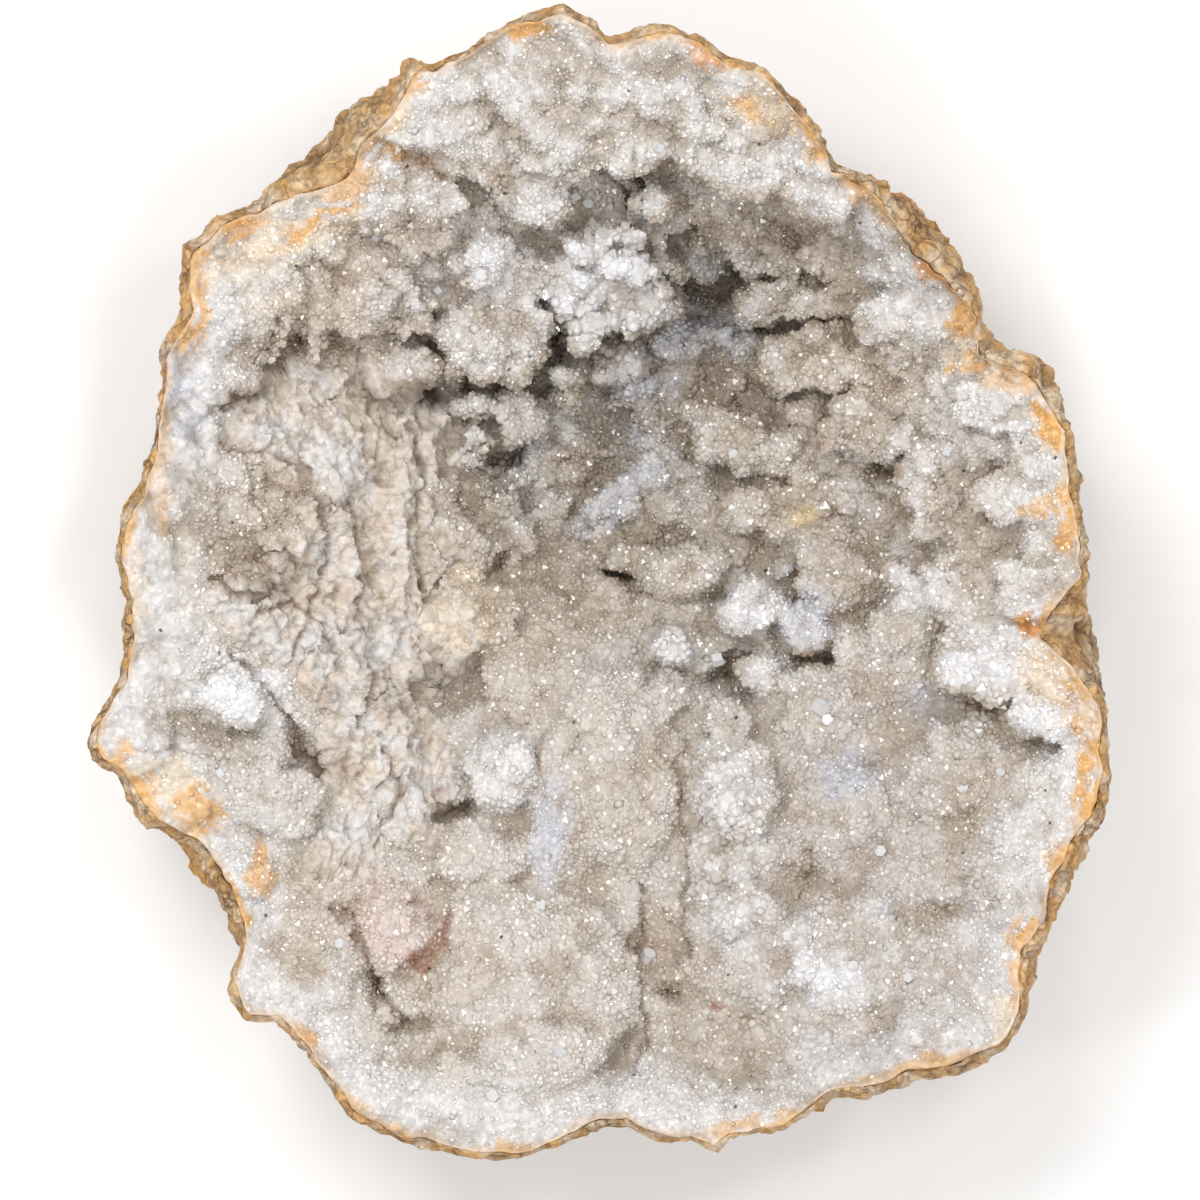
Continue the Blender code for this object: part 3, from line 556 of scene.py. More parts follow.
# Cracks and creases as lines through points (half width, depth, points). They are grooved
# into the crust and painted darker in the crack colour: along the creases this is painted
# shade, and the line from (-75, 38) to (-42, 52), under a ledge edge, is a painted shadow.
CRACKS = [
    (0.7, 1.2, [(-75, 31), (-68, 29), (-62, 27), (-58, 22), (-56, 14), (-55, 8), (-57, 2), (-60, -5), (-63, -12)]),
    (0.6, 1.0, [(-73, 31), (-70, 25), (-69, 19), (-66, 15)]),
    (0.6, 1.0, [(-65, 29), (-60, 26), (-57, 20)]),
    (0.9, 1.5, [(-74, -10), (-70, -15), (-66, -19), (-63, -23), (-60, -30), (-56, -34)]),
    (1.2, 1.5, [(-75, 38), (-74, 40), (-70, 41), (-68, 45), (-64, 47), (-62, 50), (-58, 50), (-54, 52), (-42, 52)]),
    (0.8, 1.2, [(-65, 55.5), (-62, 53), (-61, 50)]),
    (1.0, 1.5, [(-49, -66), (-45, -78), (-39, -85)]),
    (0.9, 1.2, [(-45, 92), (-40, 91), (-38, 88), (-30, 85)]),
    (0.9, 1.2, [(8, -58), (9.5, -66), (8.5, -76), (10, -86), (5, -97)]),
    (0.9, 0.8, [(17, -28), (16, -40), (17.5, -52), (16, -64), (18, -72)]),
    (0.8, 1.2, [(74, -19), (80, -25), (90, -29)]), (0.8, 1.0, [(-50, 20), (-48, 8), (-50, -4), (-47, -14), (-50, -26)]),
    (0.8, 1.3, [(-77, 3.5), (-74, 7.5), (-69, 9.8), (-63, 9.5), (-61, 7), (-64, 4), (-70, 2), (-77, 3.5)]),
    (0.7, 1.0, [(-40, 36), (-36, 24), (-40, 12), (-36, 2)]), (0.7, 1.0, [(-70, -2), (-62, 0), (-56, -6), (-52, -14)]),
    (0.7, 1.0, [(-44, -30), (-40, -40), (-46, -50)]), (0.6, 0.6, [(-97, -34), (-92, -30), (-84, -30), (-76, -33)]),
]
CRACK_BEND = 1.0


def undercut(xy):
    """How far the edges of ledges lean out over what lies below them."""
    slope = np.column_stack([look_up(EAST_SLOPE, xy), look_up(NORTH_SLOPE, xy)])
    steepness = np.linalg.norm(slope, axis=1)
    downhill = -slope / np.maximum(steepness, 1e-6)[:, None]
    standing = look_up(HEIGHT_MAP, xy) - look_up(EVENED_MAP, xy)
    reach = np.clip(UNDERCUT * standing, -MOST_UNDERCUT, MOST_UNDERCUT)
    return downhill * (reach * ease(steepness, 0.5, 1.3))[:, None]


def facing_of(piece):
    """Which way the surface faces at each point."""
    flat = np.empty(3 * len(piece.data.vertices))
    piece.data.vertex_normals.foreach_get("vector", flat)
    return flat.reshape(-1, 3)


def domes(points, spacing):
    """Rounded domes side by side, with creases between them, from about -1 to 0.5."""
    places = points / spacing
    nearest = np.array([noise.voronoi(Vector(place))[0][0] for place in places])
    return 0.5 - 2.2 * nearest**2


def ridges(points, spacing, seed):
    """Sharp folds, from about -1 to 1."""
    return 1.0 - 3.0 * np.abs(wander(points, spacing, seed))


def near_line(xy, line, half_width):
    """1 on a line through points, 0 from half_width away."""
    nearest = np.full(len(xy), np.inf)
    for start, end in zip(np.array(line[:-1], float), np.array(line[1:], float)):
        run = end - start
        along = np.clip((xy - start) @ run / (run @ run), 0.0, 1.0)
        nearest = np.minimum(nearest, np.linalg.norm(xy - start - along[:, None] * run, axis=1))
    return 1.0 - ease(nearest, 0.3 * half_width, half_width)


def find_cracks(xy):
    """How deep the cracks are at each point, in millimetres."""
    bent = xy + CRACK_BEND * np.column_stack([wander(xy, 3.0, 61), wander(xy, 3.0, 62)])
    return np.max([depth * near_line(bent, line, half) for half, depth, line in CRACKS], axis=0)


def to_frame(points):
    """From millimetres about the camera's axis to metres in the frame."""
    shift = (-PLAN_MIDDLE[0], -PLAN_MIDDLE[1], 0.0)
    return (np.asarray(points) + shift) * MM


def from_frame(points):
    return np.asarray(points) / MM + (PLAN_MIDDLE[0], PLAN_MIDDLE[1], 0.0)


def shape_crust(crust, xy):
    """Drops the sheet on the relief, then swells it along its own normals."""
    where = fields(xy)
    points = np.column_stack([xy + undercut(xy), look_up(HEIGHT_MAP, xy)])
    write_points(crust, to_frame(points))
    bold = CALM_LOBES + (BOLD_LOBES - CALM_LOBES) * ease(xy[:, 1], -12.0, 34.0)
    lobed = bold * (1.0 - where["chalk"]) * (1.0 - 0.3 * where["milk"])
    at_edge = ease(where["from_edge"], 0.0, 2.5)
    swell = sum(reach * domes(points, spacing) for spacing, reach in LOBES) * lobed
    folds = sum(reach * ridges(points * (1.0, drawn, 1.0), spacing, 12)
                for spacing, reach, drawn in CHALK_FOLDS)
    swell += folds * where["chalk"]
    where["swell"], where["crack"] = swell, find_cracks(xy)
    points += facing_of(crust) * ((swell - where["crack"]) * at_edge)[:, None]
    write_points(crust, to_frame(points))
    print(f"crust from {points[:, 2].min():.0f} to {points[:, 2].max():.0f} mm high")
    return where


crust_where = shape_crust(crust, plan_xy)

# %% [markdown]
# ## The back of the crust
# The crust fills the rind. Its back is the inside of the rind a gap further in: a bowl
# from the rim down to a flat floor. The rim's edge is extruded down that bowl, ring by
# ring, and the last ring is merged to one point.

# %% The bowl that crust and rind share
REST_RADIUS = 33.0
RIND_FLOOR = 8.0
RIND_DEEPENING = 6.0
BOWL_SQUARENESS = 0.84
GAP = 0.3
BACK_SHARES = (0.03, 0.15, 0.4, 0.65, 0.88)


def bowl(angle, share, radius, top, bottom):
    """A point of a bowl: share 0 is its edge, and 1 is the edge of its flat bottom."""
    lean = share * math.pi / 2
    out = math.cos(lean) ** BOWL_SQUARENESS if share < 1.0 else 0.0
    down = math.sin(lean) ** BOWL_SQUARENESS
    reach = REST_RADIUS + (radius - REST_RADIUS) * out
    height = bottom + (top - bottom) * (1.0 - down)
    return np.column_stack([plan(angle, reach), height])


def edge_height(angle):
    return look_up(HEIGHT_MAP, plan(angle, quartz_radius(angle)))


def inside_ring(angle, share, gap=0.0):
    radius = quartz_radius(angle) - RIND_DEEPENING * math.sin(share * math.pi / 2) - gap
    return bowl(angle, share, radius, edge_height(angle) - 1.0 + gap, RIND_FLOOR + gap)


# %% The rim's edge extruded down the bowl
def select_points(piece, chosen):
    """Selects these points and what lies between them, and nothing else."""
    bpy.ops.object.mode_set(mode="EDIT")
    bpy.ops.mesh.select_mode(type="VERT")
    bpy.ops.mesh.select_all(action="DESELECT")
    bpy.ops.object.mode_set(mode="OBJECT")
    flags = np.zeros(len(piece.data.vertices), dtype=bool)
    flags[chosen] = True
    piece.data.vertices.foreach_set("select", flags)


def extrude_down(piece, ring, shares):
    """Extrudes a ring of points down the back of the bowl and closes it."""
    select_points(piece, ring)
    for share in shares:
        bpy.ops.object.mode_set(mode="EDIT")
        bpy.ops.mesh.extrude_edges_indiv()
        bpy.ops.object.mode_set(mode="OBJECT")
        points = read_points(piece)
        newest = slice(len(points) - len(ring), len(points))
        flat = from_frame(points[newest])
        angle = np.arctan2(flat[:, 1], flat[:, 0])
        points[newest] = to_frame(inside_ring(angle, share, GAP))
        write_points(piece, points)
    bpy.ops.object.mode_set(mode="EDIT")
    bpy.ops.mesh.merge(type="CENTER")
    bpy.ops.mesh.select_all(action="SELECT")
    bpy.ops.mesh.normals_make_consistent(inside=False)
    bpy.ops.object.mode_set(mode="OBJECT")


start_fresh()
crust.select_set(True)
bpy.context.view_layer.objects.active = crust
front_count = len(crust.data.vertices)
front_corners = read_corners(crust)
front_points = from_frame(read_points(crust))
front_facing = facing_of(crust)
extrude_down(crust, np.flatnonzero(on_rim), BACK_SHARES)
crust.data.shade_smooth()
print(f"crust of {len(crust.data.polygons)} faces")

# %% [markdown]
# ## The rind
# The rock wall is one sheet of faces rolled up into a bowl: columns go round it, and rows
# run from the middle of the floor up the inside, over the lip and down the outside to the
# flat spot it rests on. The seam and the two poles are merged, so the skin is closed.
# Cauliflower nodules of two sizes swell it, like those of the solid, and smaller scales,
# grains and creases lie on them.

# %% Rows of the rind's profile
SHOULDER_DROP = 3.0
SHOULDER_SLOPE = 1.3
NODULES = ((27.0, 9.0), (13.0, 3.2))
UNDERSIDE_CLEARANCE = 0.6
EVENING_SPAN = 16.0
RIND_COLUMNS = 720
INSIDE_SHARES = (0.9, 0.7, 0.45, 0.2, 0.05)
LIP_ROWS = 10
OUTSIDE_ROWS = 60


def evened_radius(angle, evenness):
    """The outline's radius: with all its notches at 0, and evened out at 1."""
    span = math.radians(EVENING_SPAN)
    nearby = [outline_radius(angle + turn) for turn in np.linspace(-span, span, 9)]
    return outline_radius(angle) * (1.0 - evenness) + np.mean(nearby, axis=0) * evenness


def ragged(angle):
    """Small unevenness of the broken edge, in plan."""
    around = plan(angle, 90.0)
    return 0.5 * wander(around, 8.0, 21) + 0.6 * wander(around, 2.6, 22) + 0.3 * wander(around, 1.3, 24)


def nodules(points, share):
    """How far the knobbly skin stands out at each point: domes with creases between."""
    fade = min(1.0, 4.0 * share) * min(1.0, 5.0 * (1.0 - share))
    return fade * sum(reach * (domes(points, spacing) - 0.05) for spacing, reach in NODULES)


def outside_ring(angle, share):
    """One ring of the rind's outside, from the shoulder down."""
    shoulder = edge_height(angle) - SHOULDER_DROP - SHOULDER_SLOPE * by_angle(RIND_BANDS, angle)
    radius = np.minimum(evened_radius(angle, min(1.0, 2.2 * share)), outline_radius(angle) + 3.0)
    ring = bowl(angle, share, radius + ragged(angle), shoulder, 0.0)
    lean = share * math.pi / 2
    swell = nodules(ring, share)
    ring[:, :2] += plan(angle, swell * math.cos(lean))
    if share < 1.0:
        ring[:, 2] = np.maximum(ring[:, 2] - swell * math.sin(lean), UNDERSIDE_CLEARANCE)
    return ring


def lip_ring(angle, share):
    """One ring over the lip: share 0 meets the quartz, and 1 is the shoulder."""
    lean = share * math.pi / 2
    inner = quartz_radius(angle) + 0.05
    outer = outline_radius(angle) + ragged(angle)
    drop = SHOULDER_DROP + SHOULDER_SLOPE * by_angle(RIND_BANDS, angle)
    height = edge_height(angle) - 0.2 - (drop - 0.2) * (1.0 - math.cos(lean))
    return np.column_stack([plan(angle, inner + (outer - inner) * math.sin(lean)), height])


def rind_rows(angle):
    """Every row of the rind, from the middle of its floor to the middle of its underside."""
    floor = np.column_stack([plan(angle, 0.0), np.full(len(angle), RIND_FLOOR)])
    inside = [inside_ring(angle, share) for share in INSIDE_SHARES]
    lip = [lip_ring(angle, k / LIP_ROWS) for k in range(LIP_ROWS)]
    outside = [outside_ring(angle, k / OUTSIDE_ROWS) for k in range(OUTSIDE_ROWS + 1)]
    under = np.column_stack([plan(angle, 0.0), np.zeros(len(angle))])
    return [floor] + inside + lip + outside + [under]


# %% A sheet rolled up into the rind
# Scales and grains of the rock skin: how far apart they are, and how far they stand out.
SCALES = [(5.0, 1.3), (2.4, 0.7), (1.3, 0.3)]


def make_rind():
    angle = (np.arange(RIND_COLUMNS + 1) * TAU / RIND_COLUMNS + math.pi) % TAU - math.pi
    rows = np.stack(rind_rows(angle))
    start_fresh()
    bpy.ops.mesh.primitive_grid_add(
        x_subdivisions=RIND_COLUMNS, y_subdivisions=len(rows) - 1, size=1.0)
    rind = bpy.context.object
    rind.name = rind.data.name = "rock_rind"
    sheet = read_points(rind)
    column = np.rint((sheet[:, 0] + 0.5) * RIND_COLUMNS).astype(int)
    row = np.rint((sheet[:, 1] + 0.5) * (len(rows) - 1)).astype(int)
    write_points(rind, to_frame(rows[row, column]))
    bpy.ops.object.mode_set(mode="EDIT")
    bpy.ops.mesh.select_all(action="SELECT")
    bpy.ops.mesh.remove_doubles(threshold=0.002 * MM)
    bpy.ops.mesh.normals_make_consistent(inside=False)
    bpy.ops.object.mode_set(mode="OBJECT")
    rind.data.shade_smooth()
    print(f"rind of {len(rind.data.polygons)} faces")
    return rind


def roughen_rind(rind):
    """Scales and grains along the normals. Returns how high each point stands."""
    points = from_frame(read_points(rind))
    away = np.linalg.norm(points[:, :2], axis=1)
    angle = np.arctan2(points[:, 1], points[:, 0])
    outside = ease(away - quartz_radius(angle), -0.5, 0.8)
    low = (points[:, 2] < edge_height(angle) - 4.0) & (away > REST_RADIUS + 1.0)
    inner = inside_radius_at(points, angle)
    outside = np.where(low, ease(away - inner, 2.0, 4.0), outside)
    outside *= ease(points[:, 2], 0.3, 3.0)
    strayed = points + 1.2 * np.column_stack([wander(points, 5.0, 23 + k) for k in range(3)])
    swell = sum(reach * domes(strayed, spacing) for spacing, reach in SCALES)
    write_points(rind, to_frame(points + facing_of(rind) * (swell * outside)[:, None]))
    return points, swell


def inside_radius_at(points, angle):
    """Radius of the bowl's inside at the height of each point."""
    top, radius = edge_height(angle) - 1.0, quartz_radius(angle)
    down = np.clip(1.0 - (points[:, 2] - RIND_FLOOR) / (top - RIND_FLOOR), 0.0, 1.0)
    lean = np.arcsin(down ** (1.0 / BOWL_SQUARENESS))
    out = np.cos(lean) ** BOWL_SQUARENESS
    return REST_RADIUS + (radius - REST_RADIUS) * out - RIND_DEEPENING * np.sin(lean)


rind = make_rind()
rind_points, rind_swell = roughen_rind(rind)


# %% [markdown]
# ## Colours
# Nothing on a grown stone is one colour. A base colour is worked out for every point from
# what grew there: milk at the rim, beige druse inside it, cream on the chalk. Painted shade
# in taupe darkens the crevices and the creases between lobes, and the deep is painted darker;
# painted light whitens the tops. Then stains are laid on with the same elliptical brush
# that raised the lumps; some of these are painted shade in pits, and two wide ones are
# painted light on the far wall and painted shade on the near right.
# The result goes into a colour attribute, which the materials read.

# %% Colours
def linear(hex_colour):
    """An sRGB hex colour as linear light."""
    parts = [int(hex_colour[k:k + 2], 16) / 255 for k in (1, 3, 5)]
    return [c / 12.92 if c <= 0.04045 else ((c + 0.055) / 1.055) ** 2.4 for c in parts]


# The crack colour paints cracks, and also painted shade along creases; the shade colour and the black of the hole are
# painted shade in pits.
COLOURS = {
    "milk": "#d7d4d2", "frost": "#c9c2bb", "beige": "#c1b4a6", "taupe": "#a4927d",
    "shade": "#7c6956", "ice": "#bcbfca", "cream": "#dfcfb8", "crack": "#85705c",
    "ochre": "#dba456", "amber": "#cc8836", "tan": "#d1a66f", "umber": "#8d6a43",
    "rust": "#92583f", "blush": "#cfbcb3", "painted_hole_shade": "#1d1a18", "yellow": "#dcc07a",
    "clay": "#bea17b", "chalk": "#d3c5b6", "fog": "#b3adaa", "painted_glint": "#fbfaf8", "snow": "#e2e2e4",
}
PAINT = {name: np.array(linear(value)) for name, value in COLOURS.items()}
# Stains of the quartz, and painted light and shade laid on with the same brush (x, y, half
# length, half width, turn, colour, strength). Every entry in shade, and the black one in the
# hole at (-19, 28.5), is painted shade in a pit or crevice. So are the taupe entries on the pits
# at (-31, -18), (38, -56) and (3, -90), and the fog entry paints the pit at (23, 64) a lighter
# grey shade. The wide snow entry at (-5, 76) is painted light on the far wall, and the wide fog
# entry at (52, -58) is painted shade on the near right.
STAINS_AND_PAINTED_SHADING = [
    # Painted light on the far wall, and painted shade on the near right.
    (-5, 76, 55, 34, 0, "snow", 0.3), (52, -58, 46, 56, 0, "fog", 0.4),
    (20, 53, 15, 7, 8, "ice", 0.6), (8, 42, 12, 7, 15, "ice", 0.6), (-10, -45, 6, 14, 0, "ice", 0.55),
    (42, -4, 8, 8, 0, "ice", 0.6), (50, -35, 9, 6, 10, "ice", 0.6), (65, -21, 9, 7, 0, "ice", 0.6),
    (4, 21, 15, 5, 38, "ice", 0.5), (-12, 32, 9, 3, 35, "milk", 0.9), (-85, 46, 7, 8, 0, "ice", 0.5),
    (-84, 38, 6, 7, 0, "ice", 0.5), (14, 55, 9, 5, 0, "ice", 0.5), (5, 33, 8, 5, 30, "ice", 0.5),
    (38, 18, 15, 9, 0, "beige", 0.9), (41, 17, 4, 2, -20, "yellow", 0.5), (49, 8, 10, 12, 15, "taupe", 0.5),
    (5, 10, 8, 7, 0, "taupe", 0.5), (25, 42, 10, 6, 0, "taupe", 0.4), (-5, 28, 10, 6, 20, "taupe", 0.4),
    (25, 76, 14, 7, -5, "taupe", 0.6), (62, -6, 7, 5, 0, "taupe", 0.4), (38, -56, 8, 7, 0, "taupe", 0.5),
    (66, -64, 9, 5, 0, "taupe", 0.5), (28, -90, 12, 9, 0, "taupe", 0.5), (37, 71, 10, 6, 0, "taupe", 0.4),
    (46.5, 31.5, 1.3, 1.0, 0, "amber", 0.9), (26, 38, 9, 7, 0, "beige", 0.6),
    (0, 65, 16, 13, 0, "snow", 0.9), (-17, 68, 13, 11, 0, "snow", 0.75), (3, 80, 9, 7, 0, "snow", 0.6), (31, -1, 9, 8, 0, "snow", 0.9), (13.5, -9, 6, 5, 0, "snow", 0.8),
    (64, 2, 9, 8, 0, "milk", 0.8), (-24, 39, 12, 6, 0, "frost", 0.6), (35, -15, 7, 6, 0, "milk", 0.7),
    (27, -52, 11, 26, 0, "milk", 0.5), (25, -33, 8, 8, 0, "snow", 0.5), (78, -12, 12, 8, 0, "snow", 0.8), (92, -24, 12, 9, 0, "snow", 0.9),
    (84, -50, 9, 12, 0, "milk", 0.6), (82, 39, 13, 10, 0, "milk", 0.8), (50, -72, 17, 12, 10, "snow", 0.7),
    (-19, -34, 9, 9, 0, "snow", 0.6), (-27, -2, 11, 11, 0, "cream", 0.8),
    (-42, -65, 11, 11, 0, "blush", 0.8), (-72, -19, 13, 8, -25, "snow", 0.9),
    (-84, 22, 7, 6, 0, "taupe", 0.35), (-69, 6, 7.5, 3.6, 12, "taupe", 1.0),
    (-81, -26, 12, 5, -10, "shade", 0.45), (-31, -18, 9, 8, 0, "taupe", 0.3),
    (-20, 85, 8, 3, -40, "beige", 0.6), (14, 106.5, 12, 3, -8, "taupe", 0.6), (-14, 106, 7, 3, 0, "taupe", 0.5),
    # Painted shade in pits: the black hole and the shade entries below.
    (-19, 28.5, 6, 2.6, 10, "painted_hole_shade", 1.0), (57, 26, 6, 3, 20, "shade", 0.8), (53, -3, 5, 2.6, 35, "shade", 0.9),
    (43, -11.5, 6, 2.4, -5, "shade", 0.9), (-29, -43, 5.5, 2, 15, "shade", 0.9),
    (75, -20, 5, 2.2, -40, "shade", 0.8), (85, -28, 7, 2.2, -20, "shade", 0.6),
    (14, -79, 5, 4, 0, "shade", 0.5), (23, 64, 9, 4.5, 0, "fog", 0.7), (-36, 42, 5, 3.5, 0, "shade", 0.7),
    (-33, -69, 5, 2.2, 62, "rust", 0.8), (-36, -73, 2.5, 2, 0, "rust", 0.8), (-31, -65.5, 4, 1.8, 30, "rust", 0.7),
    (23, -82, 1.6, 1.2, 0, "rust", 0.8), (-55, -75, 1.3, 1.0, 0, "rust", 0.7), (-32.5, -38.5, 1.2, 1.0, 0, "rust", 0.8),
    (3, -90, 11, 4, 55, "taupe", 0.3), (12, -70, 5, 12, 0, "beige", 0.8),
]
# Iron stains along the rim, in the same terms.
RIM_STAINS = [
    (-44, 98, 8, 9, -20, "cream", 0.9), (-46, 97, 7, 7, -20, "ochre", 0.5), (-40, 104, 5, 5, 0, "ochre", 0.8), (-59, 73, 12, 5, 20, "cream", 0.8),
    (-58, 75, 9, 1.6, 35, "ochre", 0.8), (-75, 74, 10, 4, 20, "ochre", 0.8), (-82, 61, 4, 12, 0, "ochre", 0.7),
    (-40.5, 89, 4, 2, 0, "ochre", 0.7), (-38, 88, 9, 2.0, -25, "umber", 0.5), (-46, 93, 4, 7, 20, "umber", 0.5),
    (-50, 84, 8, 5, 30, "tan", 0.8), (-70, 68, 12, 5, 20, "cream", 0.7), (-66, 60, 9, 4, 10, "cream", 0.4),
    (-17, 115.5, 8, 3.6, -15, "ochre", 0.8), (10, 113.5, 8, 2.6, 0, "ochre", 0.7), (22, 109, 5, 4, -20, "amber", 0.7),
    (33, 100, 9, 7, -45, "cream", 0.9), (36, 103, 8, 2.6, -50, "ochre", 0.9), (30, 98, 8, 1.4, -30, "ochre", 0.5),
    (34, 95, 7, 1.2, -30, "ochre", 0.4), (43, 92, 5, 4, -50, "ochre", 0.9), (52, 83, 8, 5, -30, "ochre", 0.7),
    (60, 77, 9, 4, -40, "tan", 0.7), (62, 72.5, 4, 3, 0, "taupe", 0.6), (68, 67, 7, 4, -45, "amber", 0.9),
    (74, 56, 4, 7, 0, "ochre", 0.8), (76, 49, 10, 4, 10, "cream", 0.9), (74, 47, 6, 1.6, 20, "ochre", 0.7),
    (84, 44, 9, 3, 5, "ochre", 0.5), (90, 35, 4, 8, 0, "ochre", 0.9), (90, 19.5, 7, 3, 15, "ochre", 0.7),
    (94, 14, 3, 6, 0, "ochre", 0.8), (86, -5.5, 4, 3, 0, "amber", 0.9), (92, -14, 9, 10, 0, "cream", 0.9), (93, -6, 7, 8, 0, "tan", 0.9), (96, -18, 4, 12, 0, "tan", 0.9),
    (98, -40, 4.4, 13, 5, "tan", 0.9), (99, -38, 3, 11, 5, "ochre", 0.7), (93, -56, 4.5, 9, 20, "ochre", 0.7), (86, -69, 6, 7, 15, "ochre", 0.8),
    (82, -85, 6, 7, 15, "cream", 0.9), (85, -80, 3, 9, 10, "ochre", 0.6), (64, -94, 14, 3, 15, "tan", 0.7),
    (-98, -31, 7, 4, 0, "ochre", 0.8), (-86, -39, 12, 8, -30, "cream", 0.8), (-92, -39, 7, 4, -40, "ochre", 0.8),
    (-81, -42, 6, 6, 30, "ochre", 0.7), (-74, -60, 4, 6, 20, "ochre", 0.8), (-68, -54, 3, 6, 10, "ochre", 0.7),
    (-59, -89, 6, 3, -40, "ochre", 0.7), (-95, 12, 4, 10, 0, "ochre", 0.8), (-93, 2, 3, 10, 0, "cream", 0.7),
    (-88, 28, 3, 16, 0, "tan", 0.5), (-45, -104, 12, 2.6, -30, "tan", 0.7), (-10, -110, 16, 2.2, 5, "tan", 0.7),
    (35, -105, 14, 2.4, 5, "tan", 0.7), (100, -20, 3, 12, 0, "tan", 0.6),
]


# How far the edge of a stain strays, at what spacing, and how blotchy its inside is.
STRAY, STRAY_SPACING = 2.6, 4.5
BLOTCHES = [(6.0, 0.4), (1.8, 0.5)]
# Iron stains are streaked along the rim: how long and how wide a streak is.
STREAK_LENGTH, STREAK_WIDTH, STREAK_REACH = 7.0, 1.1, 1.1


# Painted shade: the floor of the hollow is painted darker than its walls.
PAINTED_SHADE_IN_THE_DEEP = 0.2


def streaks(xy, from_edge):
    """Noise drawn out along the rim, from about -1 to 1."""
    along = 90.0 * np.arctan2(xy[:, 1], xy[:, 0]) / STREAK_LENGTH
    return wander(np.column_stack([along, from_edge / STREAK_WIDTH]), 1.0, 53)


def lay_on(colours, xy, stains_and_shading, streaky=0.0):
    """Lays stains, and painted light and shade, on the colours, soft and blotchy, with edges that stray."""
    strayed = xy + STRAY * np.column_stack([wander(xy, STRAY_SPACING, 31), wander(xy, STRAY_SPACING, 32)])
    blotchy = sum(reach * wander(xy, spacing, 51) for spacing, reach in BLOTCHES) + streaky
    for x, y, half_length, half_width, turn, name, strength in stains_and_shading:
        inside = mound(strayed, x, y, half_length, half_width, turn)
        share = strength * ease(inside + blotchy * (inside > 0.0), 0.0, 0.85)
        colours += (PAINT[name] - colours) * share[:, None]
    return colours


def blend(colours, name, share):
    return colours + (PAINT[name] - colours) * np.clip(share, 0.0, 1.0)[:, None]


def quartz_colours(points, where):
    """Base colour of the crust and its crystals, from what grew at each point, with painted shade in its crevices,
    creases and deep and painted light on its tops.
    """
    xy = points[:, :2]
    standing = look_up(HEIGHT_MAP, xy) - look_up(EVENED_MAP, xy)
    broad = 0.5 + 0.5 * wander(xy, 24.0, 33) + 0.35 * wander(xy, 9.0, 34)
    colours = blend(np.tile(PAINT["frost"], (len(xy), 1)), "beige", ease(broad, 0.2, 0.9))
    colours = blend(colours, "milk", 0.9 * np.maximum(where["milk"], 0.6 * where["smooth"]))
    cloudy = wander(xy, 8.0, 35) + 0.6 * wander(xy, 3.2, 38)
    colours = blend(colours, "fog", 0.5 * ease(cloudy, 0.0, 0.7) * where["milk"])
    colours = blend(colours, "chalk", 0.9 * where["chalk"])
    pale = wander(xy, 11.0, 36) + 0.7 * wander(xy, 3.0, 39)
    colours = blend(colours, "milk", 0.85 * where["chalk"] * ease(pale, -0.2, 0.5))
    colours = blend(colours, "taupe", 0.5 * where["chalk"] * ease(-pale, 0.1, 0.7))
    colours = lay_on(colours, xy, STAINS_AND_PAINTED_SHADING)
    quartz = 1.0 - 0.5 * where["chalk"]
    # Painted shade: taupe where a point lies below its neighbours, in crevices and at the foot of ledges. Painted
    # light: milk on tops that stand above them.
    colours = blend(colours, "taupe", 0.7 * ease(-standing, 0.3, 2.6) * quartz)
    colours = blend(colours, "milk", 0.45 * ease(standing, 0.3, 2.6) * (1 - where["chalk"]))
    # Painted shade: taupe in the creases between lobes. Painted light: milk on the tops of lobes.
    colours = blend(colours, "taupe", 0.55 * ease(-where["swell"], 0.2, 1.8) * quartz)
    colours = blend(colours, "milk", 0.3 * ease(where["swell"], 0.8, 2.6))
    # Cracks painted darker; along the creases and under the ledge edge this darker colour is painted shade.
    colours = blend(colours, "crack", 0.75 * ease(where["crack"], 0.1, 1.0))
    # Painted shade, darker the deeper a point lies.
    colours *= 1.0 - PAINTED_SHADE_IN_THE_DEEP * ease(-points[:, 2], -58.0, -30.0)[:, None]
    edge = ease(-where["from_edge"], -2.4 - 2.2 * wander(xy, 5.0, 37), 0.5)
    colours = blend(colours, "tan", 0.6 * edge)
    return lay_on(colours, xy, RIM_STAINS, STREAK_REACH * streaks(xy, where["from_edge"]))


def set_colours(piece, colours):
    """A colour attribute, one colour a point."""
    layer = piece.data.color_attributes.new("tint", "FLOAT_COLOR", "POINT")
    full = np.column_stack([np.clip(colours, 0.0, 1.0), np.ones(len(colours))])
    layer.data.foreach_set("color", full.ravel())


front_colours = quartz_colours(front_points, crust_where)
back_count = len(crust.data.vertices) - front_count
set_colours(crust, np.vstack([front_colours, np.tile(PAINT["tan"], (back_count, 1))]))
print("crust coloured")

# %% [markdown]
# ## The druse
# Quartz grows as six-sided points. One is modelled: a cone with six sides whose
# base is poked and pulled down, so that it is closed and has twelve faces. Arrays then
# turn it into tens of thousands, each with its own width, height, lean and spin, standing
# on the crust with no two in the same place. Most keep sharp, flat faces, which
# glitter; the rest are worn and shaded smooth. Four joined meshes hold them.

# %% One crystal point
POINT_HEIGHT = 0.36
FOOT_DEPTH = 0.45


